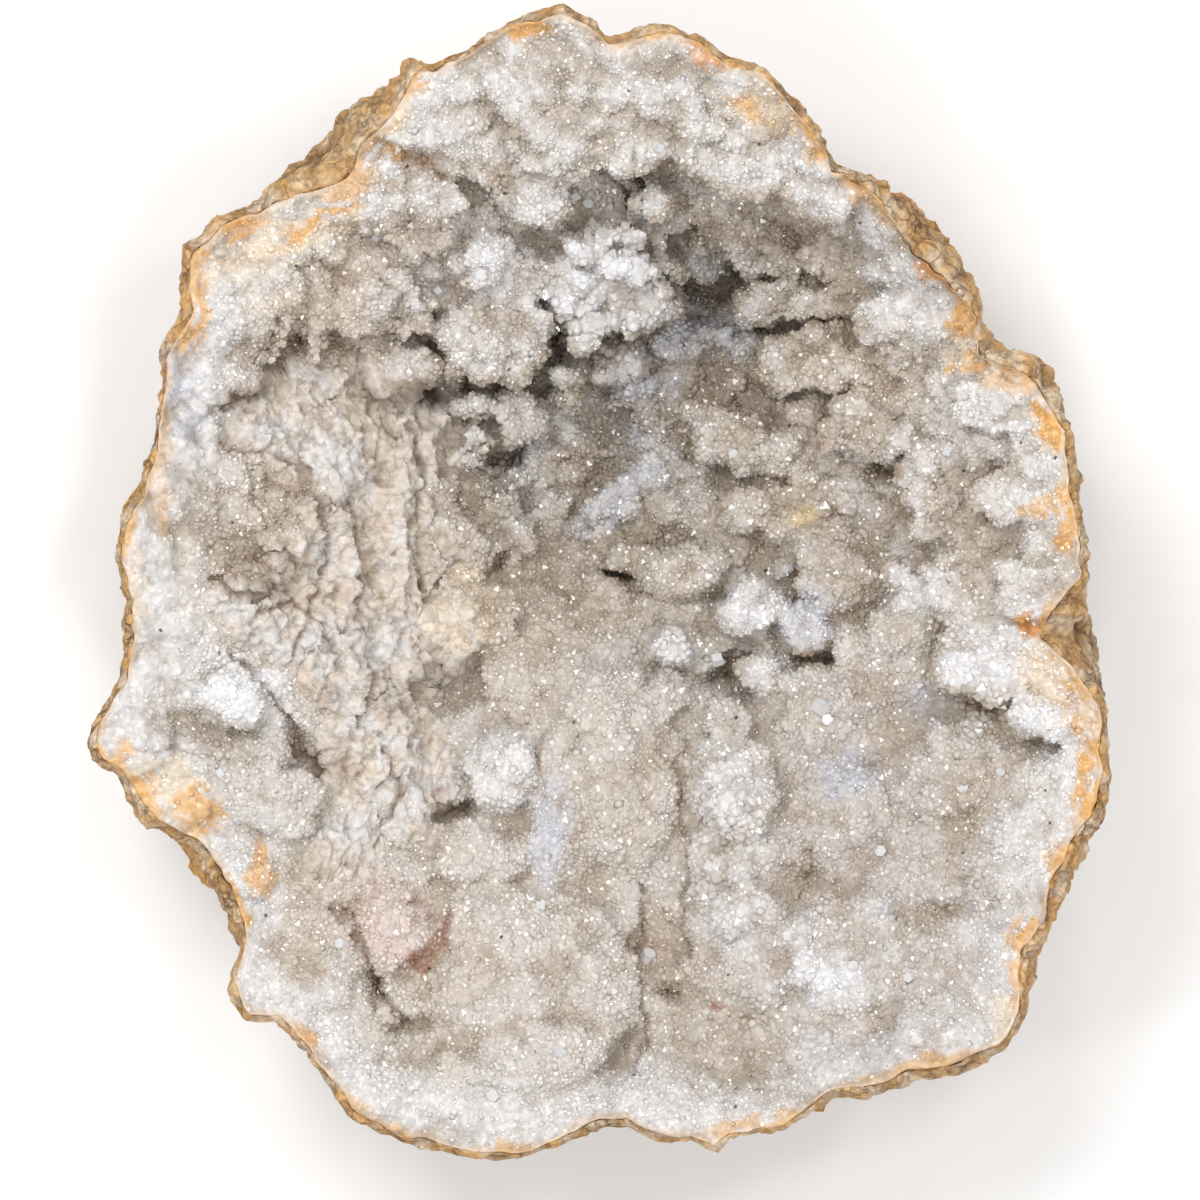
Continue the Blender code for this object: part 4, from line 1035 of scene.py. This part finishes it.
def add_point():
    """A crystal 1 wide and as high as quartz makes its points, closed by a short foot."""
    start_fresh()
    bpy.ops.mesh.primitive_cone_add(vertices=6, radius1=0.5, depth=POINT_HEIGHT,
                                    end_fill_type="NGON", location=(0, 0, POINT_HEIGHT / 2))
    bpy.ops.object.transform_apply(location=True)
    point = bpy.context.object
    bpy.ops.object.mode_set(mode="EDIT")
    bpy.ops.mesh.select_all(action="DESELECT")
    bpy.ops.object.mode_set(mode="OBJECT")
    for face in point.data.polygons:
        face.select = len(face.vertices) == 6
    bpy.ops.object.mode_set(mode="EDIT")
    bpy.ops.mesh.poke()
    bpy.ops.object.mode_set(mode="OBJECT")
    corners = read_points(point)
    middle = len(corners) - 1
    corners[middle, 2] -= FOOT_DEPTH
    write_points(point, corners)
    return point


template = add_point()
POINT_CORNERS, POINT_FACES = read_points(template), read_corners(template)
bpy.data.objects.remove(template)
print(f"one point: {len(POINT_CORNERS)} corners, {len(POINT_FACES)} faces")

# %% Where the points stand
CANDIDATES = 170_000
MOST_POINTS = 57_000
# Widths in millimetres, and how many in a hundred are so wide.
WIDTHS = [(0.95, 34), (1.25, 38), (1.6, 22), (2.1, 6)]
CROWDING = 0.265
# Where the crystals grew coarse (x, y, half length, half width, turn), and how many times.
COARSE = [
    (1, 63, 15, 15, 0), (-24, 32, 7, 8, 0), (26, -50, 9, 22, 0), (13, -9, 7, 6, 0),
    (6, 46, 9, 5, 0), (-45, -100, 14, 8, -30), (36, -88, 12, 8, 0), (78, -20, 10, 8, 0),
]
COARSENESS = 1.35
# Where the broken rim is bare, smooth quartz, in the same terms.
BARE = [(-82, 30, 13, 28, 0), (-88, 0, 14, 28, 0), (-90, -28, 16, 12, 0), (-82, -40, 14, 11, 0)]
RIM_FINENESS = 0.2


def draw_sites(draw, growth):
    """Random places on the crust, thicker where more grew."""
    a, b, c = (front_points[front_corners[:, k]] for k in range(3))
    area = 0.5 * np.linalg.norm(np.cross(b - a, c - a), axis=1)
    weight = area * growth[front_corners].mean(axis=1)
    face = draw.choice(len(front_corners), CANDIDATES, p=weight / weight.sum())
    u, v = draw.random((2, CANDIDATES))
    over = u + v > 1.0
    u, v = np.where(over, 1.0 - u, u), np.where(over, 1.0 - v, v)
    shares = np.stack([1.0 - u - v, u, v], axis=1)
    places = np.einsum("ij,ijk->ik", shares, front_points[front_corners[face]])
    facing = np.einsum("ij,ijk->ik", shares, front_facing[front_corners[face]])
    return places, facing / np.linalg.norm(facing, axis=1, keepdims=True), face


def leave_room(places, widths):
    """Picks places, the widest first, so that no two points stand in each other."""
    tree = kdtree.KDTree(len(places))
    for i, place in enumerate(places):
        tree.insert(place, i)
    tree.balance()
    free = np.ones(len(places), dtype=bool)
    picked = []
    for i in np.argsort(-widths, kind="stable"):
        if free[i] and len(picked) < MOST_POINTS:
            picked.append(i)
            for _, j, distance in tree.find_range(places[i], 2 * CROWDING * widths[i]):
                if distance < CROWDING * (widths[i] + widths[j]):
                    free[j] = False
    return np.array(picked)


def grow_druse():
    draw = np.random.default_rng(SEED)
    growth = 1.0 - 0.45 * crust_where["milk"] - 0.3 * crust_where["smooth"]
    growth *= 1.0 - 0.9 * cover(BARE, front_points[:, :2]) * crust_where["milk"]
    growth = np.clip(growth, 0.0, 1.0) * ease(crust_where["chalk"], 0.5, 0.1)
    growth *= ease(crust_where["from_edge"], 0.6, 3.0)
    places, facing, face = draw_sites(draw, growth)
    sizes, hundredths = zip(*WIDTHS)
    widths = draw.choice(sizes, CANDIDATES, p=np.array(hundredths) / 100)
    widths *= draw.uniform(0.85, 1.15, CANDIDATES)
    widths *= 1.0 + (COARSENESS - 1.0) * cover(COARSE, places[:, :2])
    widths *= 1.0 - RIM_FINENESS * crust_where["milk"][front_corners[face, 0]]
    picked = leave_room(places, widths)
    print(f"{len(picked)} crystal points")
    return draw, places[picked], facing[picked], widths[picked], front_corners[face[picked]]


draw, sites, site_facing, site_widths, site_corners = grow_druse()

# %% The points as joined meshes
LEAN = 0.16
SUNK = 0.06
SPREAD_OF_BRIGHTNESS = 0.06
# Painted light at a crystal's tip, and painted shade around its foot and under it.
TIP_LIGHT, RING_LIGHT = 1.03, 0.96
SHARP_SHARE = 0.88
# Dark grains of ore among the quartz, and small points painted near-white as painted glints, in a thousand.
DARK_GRAINS, DARK_GRAIN = 4, 0.18
PAINTED_GLINTS = 60


def crystal_axes(draw, facing, lean=LEAN):
    """Three axes for each crystal: it leans off the surface's normal, and is spun."""
    count = len(facing)
    up = facing + lean * draw.normal(size=(count, 3))
    up /= np.linalg.norm(up, axis=1, keepdims=True)
    side = np.cross(up, draw.normal(size=(count, 3)))
    side /= np.linalg.norm(side, axis=1, keepdims=True)
    return side, np.cross(up, side), up


def join_points(name, places, axes, widths, stretch, colours):
    """One mesh of many crystals."""
    count, corners = len(places), len(POINT_CORNERS)
    side, other, up = axes
    shaped = POINT_CORNERS[None] * (widths[:, None] * stretch)[:, None, :]
    spots = places[:, None] + sum(
        shaped[:, :, k:k + 1] * axis[:, None] for k, axis in enumerate((side, other, up)))
    faces = POINT_FACES[None] + (np.arange(count) * corners)[:, None, None]
    data = bpy.data.meshes.new(name)
    data.from_pydata(to_frame(spots.reshape(-1, 3)), [], faces.reshape(-1, 3))
    piece = bpy.data.objects.new(name, data)
    bpy.context.scene.collection.objects.link(piece)
    # Painted light at each crystal's tip and painted shade round its foot.
    light = np.where(POINT_CORNERS[:, 2] > 0.1, TIP_LIGHT, RING_LIGHT)
    set_colours(piece, (colours[:, None] * light[None, :, None]).reshape(-1, 3))
    worn = draw.random(count) > SHARP_SHARE
    data.polygons.foreach_set("use_smooth", np.repeat(worn, len(POINT_FACES)))
    print(f"{name}: {count} points, {len(faces) * len(POINT_FACES)} faces")
    return piece


def make_druse():
    axes = crystal_axes(draw, site_facing)
    count = len(sites)
    stretch = np.column_stack([
        draw.uniform(0.85, 1.2, count), draw.uniform(0.85, 1.2, count),
        draw.uniform(0.75, 1.4, count)])
    places = sites - axes[2] * (SUNK * site_widths)[:, None]
    colours = front_colours[site_corners].mean(axis=1)
    colours *= 1.0 + SPREAD_OF_BRIGHTNESS * draw.normal(size=(count, 1))
    colours[(draw.random(count) < DARK_GRAINS / 1000) & (site_widths < 1.1)] *= DARK_GRAIN
    # Painted glints: some small points are painted near-white, as if their faces mirrored a lamp.
    colours[(draw.random(count) < PAINTED_GLINTS / 1000) & (site_widths < 1.1)] = PAINT["painted_glint"]
    names = ("druse_far", "druse_upper", "druse_lower", "druse_near")
    order = np.array_split(np.argsort(-sites[:, 1]), len(names))
    return [
        join_points(name, places[part], [axis[part] for axis in axes], site_widths[part],
                    stretch[part], colours[part])
        for name, part in zip(names, order)
    ]


druse = make_druse()

# %% [markdown]
# ## The clear crystals
# A few crystals had room to grow large and clear. Each is a six-sided prism under a
# point, modelled once and copied to its place, where it leans its own way out of the
# druse. Clear quartz lets the light through, so it looks grey where it shows the deep
# and white where a face mirrors a lamp.

# %% Large clear crystals
# Their places (x, y, width), in millimetres.
CLEAR = [
    (-57, -15, 2.6), (-58, -38, 2.8), (-5, 81, 3.2), (-2.5, 79.5, 2.2), (-24, 66, 2.6), (44, -21.5, 3.4),
    (45.5, -24, 2.4), (43.5, 54, 2.2), (73, -38, 2.4), (9, -72, 2.8), (-22, -100, 2.6), (23, -12, 3.0),
    (51, -74, 2.2), (-52, -69, 2.2), (-76, -35, 2.4), (34, -78, 2.2), (-18, -93, 2.0), (-8, -90, 2.2),
    (27, 30, 2.0), (12, 90, 2.0), (-33, 63, 2.2), (-45, 73, 2.0), (70, 30, 2.2), (56, -50, 2.4),
    (30, -50, 2.2), (2, -50, 2.0), (-12, -62, 2.2), (62, -76, 2.2), (80, -35, 2.0), (38, 6, 2.0),
]
PRISM_HEIGHT, PRISM_TIP, PRISM_SUNK = 0.7, 0.6, 0.25
CLEAR_LEAN = 0.7


def add_prism():
    """A prism 1 wide under a six-sided point, with its foot at the origin."""
    start_fresh()
    bpy.ops.mesh.primitive_cylinder_add(vertices=6, radius=0.5, depth=PRISM_HEIGHT,
                                        location=(0, 0, PRISM_HEIGHT / 2))
    bpy.ops.object.transform_apply(location=True)
    prism = bpy.context.object
    bpy.ops.object.mode_set(mode="EDIT")
    bpy.ops.mesh.select_all(action="DESELECT")
    bpy.ops.object.mode_set(mode="OBJECT")
    for face in prism.data.polygons:
        face.select = len(face.vertices) == 6
    bpy.ops.object.mode_set(mode="EDIT")
    bpy.ops.mesh.poke()
    bpy.ops.object.mode_set(mode="OBJECT")
    corners = read_points(prism)
    corners[-1 if corners[-1, 2] > corners[-2, 2] else -2, 2] += PRISM_TIP
    write_points(prism, corners)
    return prism


def grow_clear():
    """The prisms at their places, joined, each leaning at random."""
    draw = np.random.default_rng(SEED + 1)
    prism = add_prism()
    corners, faces = read_points(prism), [list(face.vertices) for face in prism.data.polygons]
    bpy.data.objects.remove(prism)
    spots, joined = [], []
    for x, y, width in CLEAR:
        nearest = np.argmin(np.linalg.norm(front_points[:, :2] - (x, y), axis=1))
        side, other, up = (axis[0] for axis in crystal_axes(
            draw, front_facing[nearest][None], CLEAR_LEAN))
        shaped = (corners - (0.0, 0.0, PRISM_SUNK)) * width
        base = len(spots) * len(corners)
        spots.append(front_points[nearest] + shaped @ np.array([side, other, up]))
        joined += [[base + k for k in face] for face in faces]
    data = bpy.data.meshes.new("clear_crystals")
    data.from_pydata(to_frame(np.vstack(spots)), [], joined)
    piece = bpy.data.objects.new("clear_crystals", data)
    bpy.context.scene.collection.objects.link(piece)
    print(f"{len(CLEAR)} clear crystals")
    return piece


clear_crystals = grow_clear()

# %% [markdown]
# ## Colours of the rind
# The rock is a limestone skin stained by iron. Its swells weathered to tan and ochre, its
# creases are darker brown, and the edge next to the quartz is pale. How far each point
# stands out was kept when the rind was roughened, so the creases can be found again.

# %% Rind colours
def rind_colours(points, swell):
    count = len(points)
    angle = np.arctan2(points[:, 1], points[:, 0])
    near_quartz = 1.0 - ease(np.linalg.norm(points[:, :2], axis=1) - quartz_radius(angle), 0.5, 9.0)
    near_quartz *= ease(points[:, 2] - edge_height(angle), -14.0, -2.0)
    broad = wander(points, 30.0, 41) + 0.6 * wander(points, 11.0, 42)
    small = wander(points, 4.5, 43)
    colours = blend(np.tile(PAINT["tan"], (count, 1)), "clay", ease(broad, -0.1, 0.5))
    colours = blend(colours, "ochre", 0.8 * ease(-broad, 0.0, 0.5))
    colours = blend(colours, "cream", 0.65 * ease(small, 0.1, 0.55))
    colours = blend(colours, "umber", 0.9 * ease(-swell, 0.0, 1.2))
    colours = blend(colours, "tan", 0.6 * near_quartz)
    return blend(colours, "cream", 0.7 * near_quartz * ease(small, -0.2, 0.4))


set_colours(rind, rind_colours(rind_points, rind_swell))

# %% [markdown]
# ## Materials
# Crust, points and rind read the colour attribute, and the materials add what is finer than
# a mesh point. A druse glitters because each face lies its own way, so the crust's normal is
# tilted at random in cells as wide as a small crystal. The points are milky, with the gloss
# of a natural face. Only the large clear crystals let light through.

# %% One function that adds a node
QUARTZ_IOR = 1.544


def new_material(name):
    material = bpy.data.materials.new(name)
    material.use_nodes = True
    return material


def add_node(material, kind, settings=(), links=(), **values):
    """Adds a node; sets its options and its inputs' values; links (input, node, output)."""
    nodes, wires = material.node_tree.nodes, material.node_tree.links
    node = nodes.new(kind)
    for option, value in dict(settings).items():
        setattr(node, option, value)
    for name, value in values.items():
        node.inputs[name.replace("_", " ")].default_value = value
    for place, source, output in links:
        wires.new(source.outputs[output], node.inputs[place])
    return node


def cells_per_metre(millimetres):
    """Scale of a pattern whose cells are so many millimetres wide."""
    return 1.0 / (millimetres * MM)


# %% Cracks between plates
def cracks(material, place, spacing, width):
    """1 in the cracks between plates, 0 on them, in millimetres."""
    bends = add_node(material, "ShaderNodeTexNoise", links=[("Vector", place, "Object")],
                     Scale=cells_per_metre(0.7 * spacing), Detail=3.0)
    centred = add_node(material, "ShaderNodeVectorMath", {"operation": "SUBTRACT"},
                       [(0, bends, "Color")])
    centred.inputs[1].default_value = (0.5, 0.5, 0.5)
    bent = add_node(material, "ShaderNodeVectorMath", {"operation": "SCALE"},
                    [(0, centred, "Vector")], Scale=1.2 * spacing * MM)
    moved = add_node(material, "ShaderNodeVectorMath", {"operation": "ADD"},
                     [(0, place, "Object"), (1, bent, "Vector")])
    plates = add_node(material, "ShaderNodeTexVoronoi", {"feature": "DISTANCE_TO_EDGE"},
                      [("Vector", moved, "Vector")], Scale=cells_per_metre(spacing))
    edge = add_node(material, "ShaderNodeMapRange", links=[("Value", plates, "Distance")])
    for name, value in (("From Max", width / spacing), ("To Min", 1.0), ("To Max", 0.0)):
        edge.inputs[name].default_value = value
    return edge


def dirtied(material, colour, share, dirt, strength):
    """A colour multiplied by that of dirt, as strongly as given where share is 1."""
    dirty = add_node(material, "ShaderNodeVectorMath", {"operation": "MULTIPLY"},
                     [(0, *colour)])
    dirty.inputs[1].default_value = linear(dirt)
    amount = add_node(material, "ShaderNodeMath", {"operation": "MULTIPLY"}, [(0, *share)])
    amount.inputs[1].default_value = strength
    mix = add_node(material, "ShaderNodeMix", {"data_type": "RGBA"},
                   [(0, amount, "Value"), (6, *colour), (7, dirty, "Vector")])
    return mix, 2


# %% Milky quartz of the crust
def facets(material, place, width, tilt):
    """The surface's normal, tilted at random in each cell of a grain so wide."""
    grain = add_node(material, "ShaderNodeTexVoronoi", links=[("Vector", place, "Object")],
                     Scale=cells_per_metre(width))
    centred = add_node(material, "ShaderNodeVectorMath", {"operation": "SUBTRACT"},
                       [(0, grain, "Color")])
    centred.inputs[1].default_value = (0.5, 0.5, 0.5)
    tilted = add_node(material, "ShaderNodeVectorMath", {"operation": "SCALE"},
                      [(0, centred, "Vector")], Scale=tilt)
    geometry = add_node(material, "ShaderNodeNewGeometry")
    leaning = add_node(material, "ShaderNodeVectorMath", {"operation": "ADD"},
                       [(0, geometry, "Normal"), (1, tilted, "Vector")])
    return add_node(material, "ShaderNodeVectorMath", {"operation": "NORMALIZE"},
                    [(0, leaning, "Vector")])


def mottled(material, place, tint, width, least, most):
    """The tint, lighter and darker in a grain so wide."""
    grain = add_node(material, "ShaderNodeTexNoise", links=[("Vector", place, "Object")],
                     Scale=cells_per_metre(width), Detail=3.0)
    strength = add_node(material, "ShaderNodeMapRange", links=[("Value", grain, "Fac")])
    for name, value in (("From Min", 0.3), ("From Max", 0.7), ("To Min", least), ("To Max", most)):
        strength.inputs[name].default_value = value
    return add_node(material, "ShaderNodeVectorMath", {"operation": "SCALE"},
                    [(0, tint, "Color"), ("Scale", strength, "Result")])


# Cracks of the chalk and of the rock: spacing and width in millimetres, and how dirty.
CHALK_CRACKS = [(4.8, 0.35, 0.35)]
ROCK_CRACKS = [(5.0, 0.6, 0.8), (2.2, 0.35, 0.6)]
CRACK_DIRT = "#8a6c50"
# Grains of the crust between the modelled points: their width, and how dark the painted
# shade between them is.
GRAIN_WIDTH, GRAIN_EDGE = 1.3, 0.9


def grains(material, place, colour):
    """The colour, painted lighter in the middle of each grain and darker between grains as painted shade."""
    cells = add_node(material, "ShaderNodeTexVoronoi", links=[("Vector", place, "Object")],
                     Scale=cells_per_metre(GRAIN_WIDTH))
    light = add_node(material, "ShaderNodeMapRange", links=[("Value", cells, "Distance")])
    for name, value in (("From Min", 0.25), ("From Max", 0.75), ("To Min", 1.04), ("To Max", GRAIN_EDGE)):
        light.inputs[name].default_value = value
    scaled = add_node(material, "ShaderNodeVectorMath", {"operation": "SCALE"},
                      [(0, *colour), ("Scale", light, "Result")])
    return scaled, "Vector"


def patchy(material, place, share, width):
    """A share that comes and goes in patches so wide."""
    noise_map = add_node(material, "ShaderNodeTexNoise", links=[("Vector", place, "Object")],
                         Scale=cells_per_metre(width), Detail=2.0)
    patch = add_node(material, "ShaderNodeMapRange", links=[("Value", noise_map, "Fac")])
    for name, value in (("From Min", 0.4), ("From Max", 0.65), ("To Min", 0.15), ("To Max", 1.0)):
        patch.inputs[name].default_value = value
    return add_node(material, "ShaderNodeMath", {"operation": "MULTIPLY"},
                    [(0, share, "Result"), (1, patch, "Result")])


def milky_quartz():
    material = new_material("milky_quartz")
    shader = material.node_tree.nodes["Principled BSDF"]
    wires = material.node_tree.links
    place = add_node(material, "ShaderNodeTexCoord")
    tint = add_node(material, "ShaderNodeVertexColor", {"layer_name": "tint"})
    colour = mottled(material, place, tint, 1.6, 0.86, 1.08)
    normal = facets(material, place, 1.1, 0.55)
    grain = add_node(material, "ShaderNodeTexNoise", links=[("Vector", place, "Object")],
                     Scale=cells_per_metre(0.9), Detail=4.0)
    bump = add_node(material, "ShaderNodeBump", links=[("Height", grain, "Fac"),
                    ("Normal", normal, "Vector")], Strength=0.35, Distance=0.3 * MM)
    dull = add_node(material, "ShaderNodeAttribute", {"attribute_name": "dull"})
    roughness = add_node(material, "ShaderNodeMapRange", links=[("Value", dull, "Fac")])
    roughness.inputs["To Min"].default_value = 0.3
    roughness.inputs["To Max"].default_value = 0.85
    colour = grains(material, place, (colour, "Vector"))
    for spacing, width, strength in CHALK_CRACKS:
        crack = cracks(material, place, spacing, width)
        chalky = add_node(material, "ShaderNodeMath", {"operation": "MULTIPLY"},
                          [(0, crack, "Result"), (1, dull, "Fac")])
        colour = dirtied(material, colour, (chalky, "Value"), CRACK_DIRT, strength)
    wires.new(colour[0].outputs[colour[1]], shader.inputs["Base Color"])
    wires.new(roughness.outputs["Result"], shader.inputs["Roughness"])
    wires.new(bump.outputs["Normal"], shader.inputs["Normal"])
    shader.inputs["IOR"].default_value = QUARTZ_IOR
    return material


def frosted_points():
    """Milky quartz with small natural faces: pale and opaque, with a soft gloss."""
    material = new_material("frosted_quartz_points")
    shader = material.node_tree.nodes["Principled BSDF"]
    tint = add_node(material, "ShaderNodeVertexColor", {"layer_name": "tint"})
    material.node_tree.links.new(tint.outputs["Color"], shader.inputs["Base Color"])
    shader.inputs["Roughness"].default_value = 0.16
    shader.inputs["IOR"].default_value = QUARTZ_IOR
    return material


def clear_quartz():
    """Rock crystal with natural, glossy faces: see-through, with bright reflections."""
    material = new_material("rock_crystal")
    shader = material.node_tree.nodes["Principled BSDF"]
    place = add_node(material, "ShaderNodeTexCoord")
    steps = add_node(material, "ShaderNodeTexNoise", links=[("Vector", place, "Object")],
                     Scale=cells_per_metre(1.2), Detail=2.0)
    bump = add_node(material, "ShaderNodeBump", links=[("Height", steps, "Fac")],
                    Strength=0.15, Distance=0.1 * MM)
    material.node_tree.links.new(bump.outputs["Normal"], shader.inputs["Normal"])
    shader.inputs["Base Color"].default_value = (0.97, 0.97, 0.98, 1.0)
    shader.inputs["Roughness"].default_value = 0.04
    shader.inputs["IOR"].default_value = QUARTZ_IOR
    shader.inputs["Transmission Weight"].default_value = 0.4
    return material


def iron_stained_limestone():
    material = new_material("iron_stained_limestone")
    shader = material.node_tree.nodes["Principled BSDF"]
    wires = material.node_tree.links
    place = add_node(material, "ShaderNodeTexCoord")
    tint = add_node(material, "ShaderNodeVertexColor", {"layer_name": "tint"})
    colour = mottled(material, place, tint, 1.4, 0.7, 1.2)
    grain = add_node(material, "ShaderNodeTexNoise", links=[("Vector", place, "Object")],
                     Scale=cells_per_metre(0.8), Detail=5.0, Roughness=0.65)
    bump = add_node(material, "ShaderNodeBump", links=[("Height", grain, "Fac")],
                    Strength=0.7, Distance=0.6 * MM)
    colour = (colour, "Vector")
    for spacing, width, strength in ROCK_CRACKS:
        crack = patchy(material, place, cracks(material, place, spacing, width), 4 * spacing)
        colour = dirtied(material, colour, (crack, "Value"), CRACK_DIRT, strength)
        bump = add_node(material, "ShaderNodeBump", {"invert": True},
                        [("Height", crack, "Value"), ("Normal", bump, "Normal")],
                        Strength=0.6, Distance=width * MM)
    wires.new(colour[0].outputs[colour[1]], shader.inputs["Base Color"])
    wires.new(bump.outputs["Normal"], shader.inputs["Normal"])
    shader.inputs["Roughness"].default_value = 0.88
    return material


def set_dullness(piece, values):
    layer = piece.data.attributes.new("dull", "FLOAT", "POINT")
    layer.data.foreach_set("value", values)


set_dullness(crust, np.append(crust_where["chalk"], np.ones(back_count)))
crust.data.materials.append(milky_quartz())
points_material = frosted_points()
for piece in druse:
    piece.data.materials.append(points_material)
clear_crystals.data.materials.append(clear_quartz())
rind.data.materials.append(iron_stained_limestone())
print("materials on", 3 + len(druse), "pieces")

# %% [markdown]
# ## Floor and light
# A pale floor, and the soft light of a white room. Large softboxes light the hollow from
# the side that is up in the picture, so the ledges there shade what lies under them, and
# a few small ones are there to be mirrored by the crystal faces: they make the glitter.

# %% Floor
start_fresh()
bpy.ops.mesh.primitive_plane_add(size=6.0)
floor = bpy.context.object
floor.name = "floor"
floor_paper = new_material("white_paper")
floor_paper.node_tree.nodes["Principled BSDF"].inputs["Base Color"].default_value = (0.93, 0.93, 0.93, 1)
floor_paper.node_tree.nodes["Principled BSDF"].inputs["Roughness"].default_value = 0.9
floor.data.materials.append(floor_paper)

# %% Light
ROOM_BRIGHTNESS = 0.55
# Softboxes (name, place in metres, width in metres, watts).
SOFTBOXES = [
    ("key", (-0.4, 0.5, 1.4), 0.45, 9.0),
    ("fill", (0.25, -0.85, 1.3), 0.5, 4.0),
    ("glitter_left", (-0.7, -0.25, 1.3), 0.14, 2.0),
    ("glitter_right", (0.7, 0.35, 1.3), 0.14, 2.0),
    ("glitter_near", (0.1, -0.7, 1.4), 0.14, 2.0),
    ("glitter_far", (0.15, 0.95, 1.2), 0.14, 2.0),
    ("glitter_high", (0.3, 0.25, 1.7), 0.14, 2.0),
]


def add_softbox(name, place, width, watts):
    data = bpy.data.lights.new(name, "AREA")
    data.size, data.energy = width, watts
    lamp = bpy.data.objects.new(name, data)
    lamp.location = place
    aim = Vector((0.0, 0.0, 0.06)) - lamp.location
    lamp.rotation_euler = aim.to_track_quat("-Z", "Y").to_euler()
    bpy.context.scene.collection.objects.link(lamp)


def light_the_room():
    world = bpy.data.worlds.new("white_room")
    world.use_nodes = True
    sky = world.node_tree.nodes["Background"]
    sky.inputs["Color"].default_value = (1.0, 1.0, 1.0, 1.0)
    sky.inputs["Strength"].default_value = ROOM_BRIGHTNESS
    bpy.context.scene.world = world
    bpy.context.scene.view_settings.view_transform = "Standard"
    for softbox in SOFTBOXES:
        add_softbox(*softbox)


light_the_room()
print(len(SOFTBOXES), "softboxes")

# %% [markdown]
# ## Hand the pieces to the frame
# Nothing here moves, so every piece rides on the one body. The crust and the rind stand
# for the solids of the same form.

# %% Ride, replace and finish
for piece in [crust, rind, clear_crystals] + druse:
    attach(piece, "root")
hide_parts("quartz_crust")
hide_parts("rind")
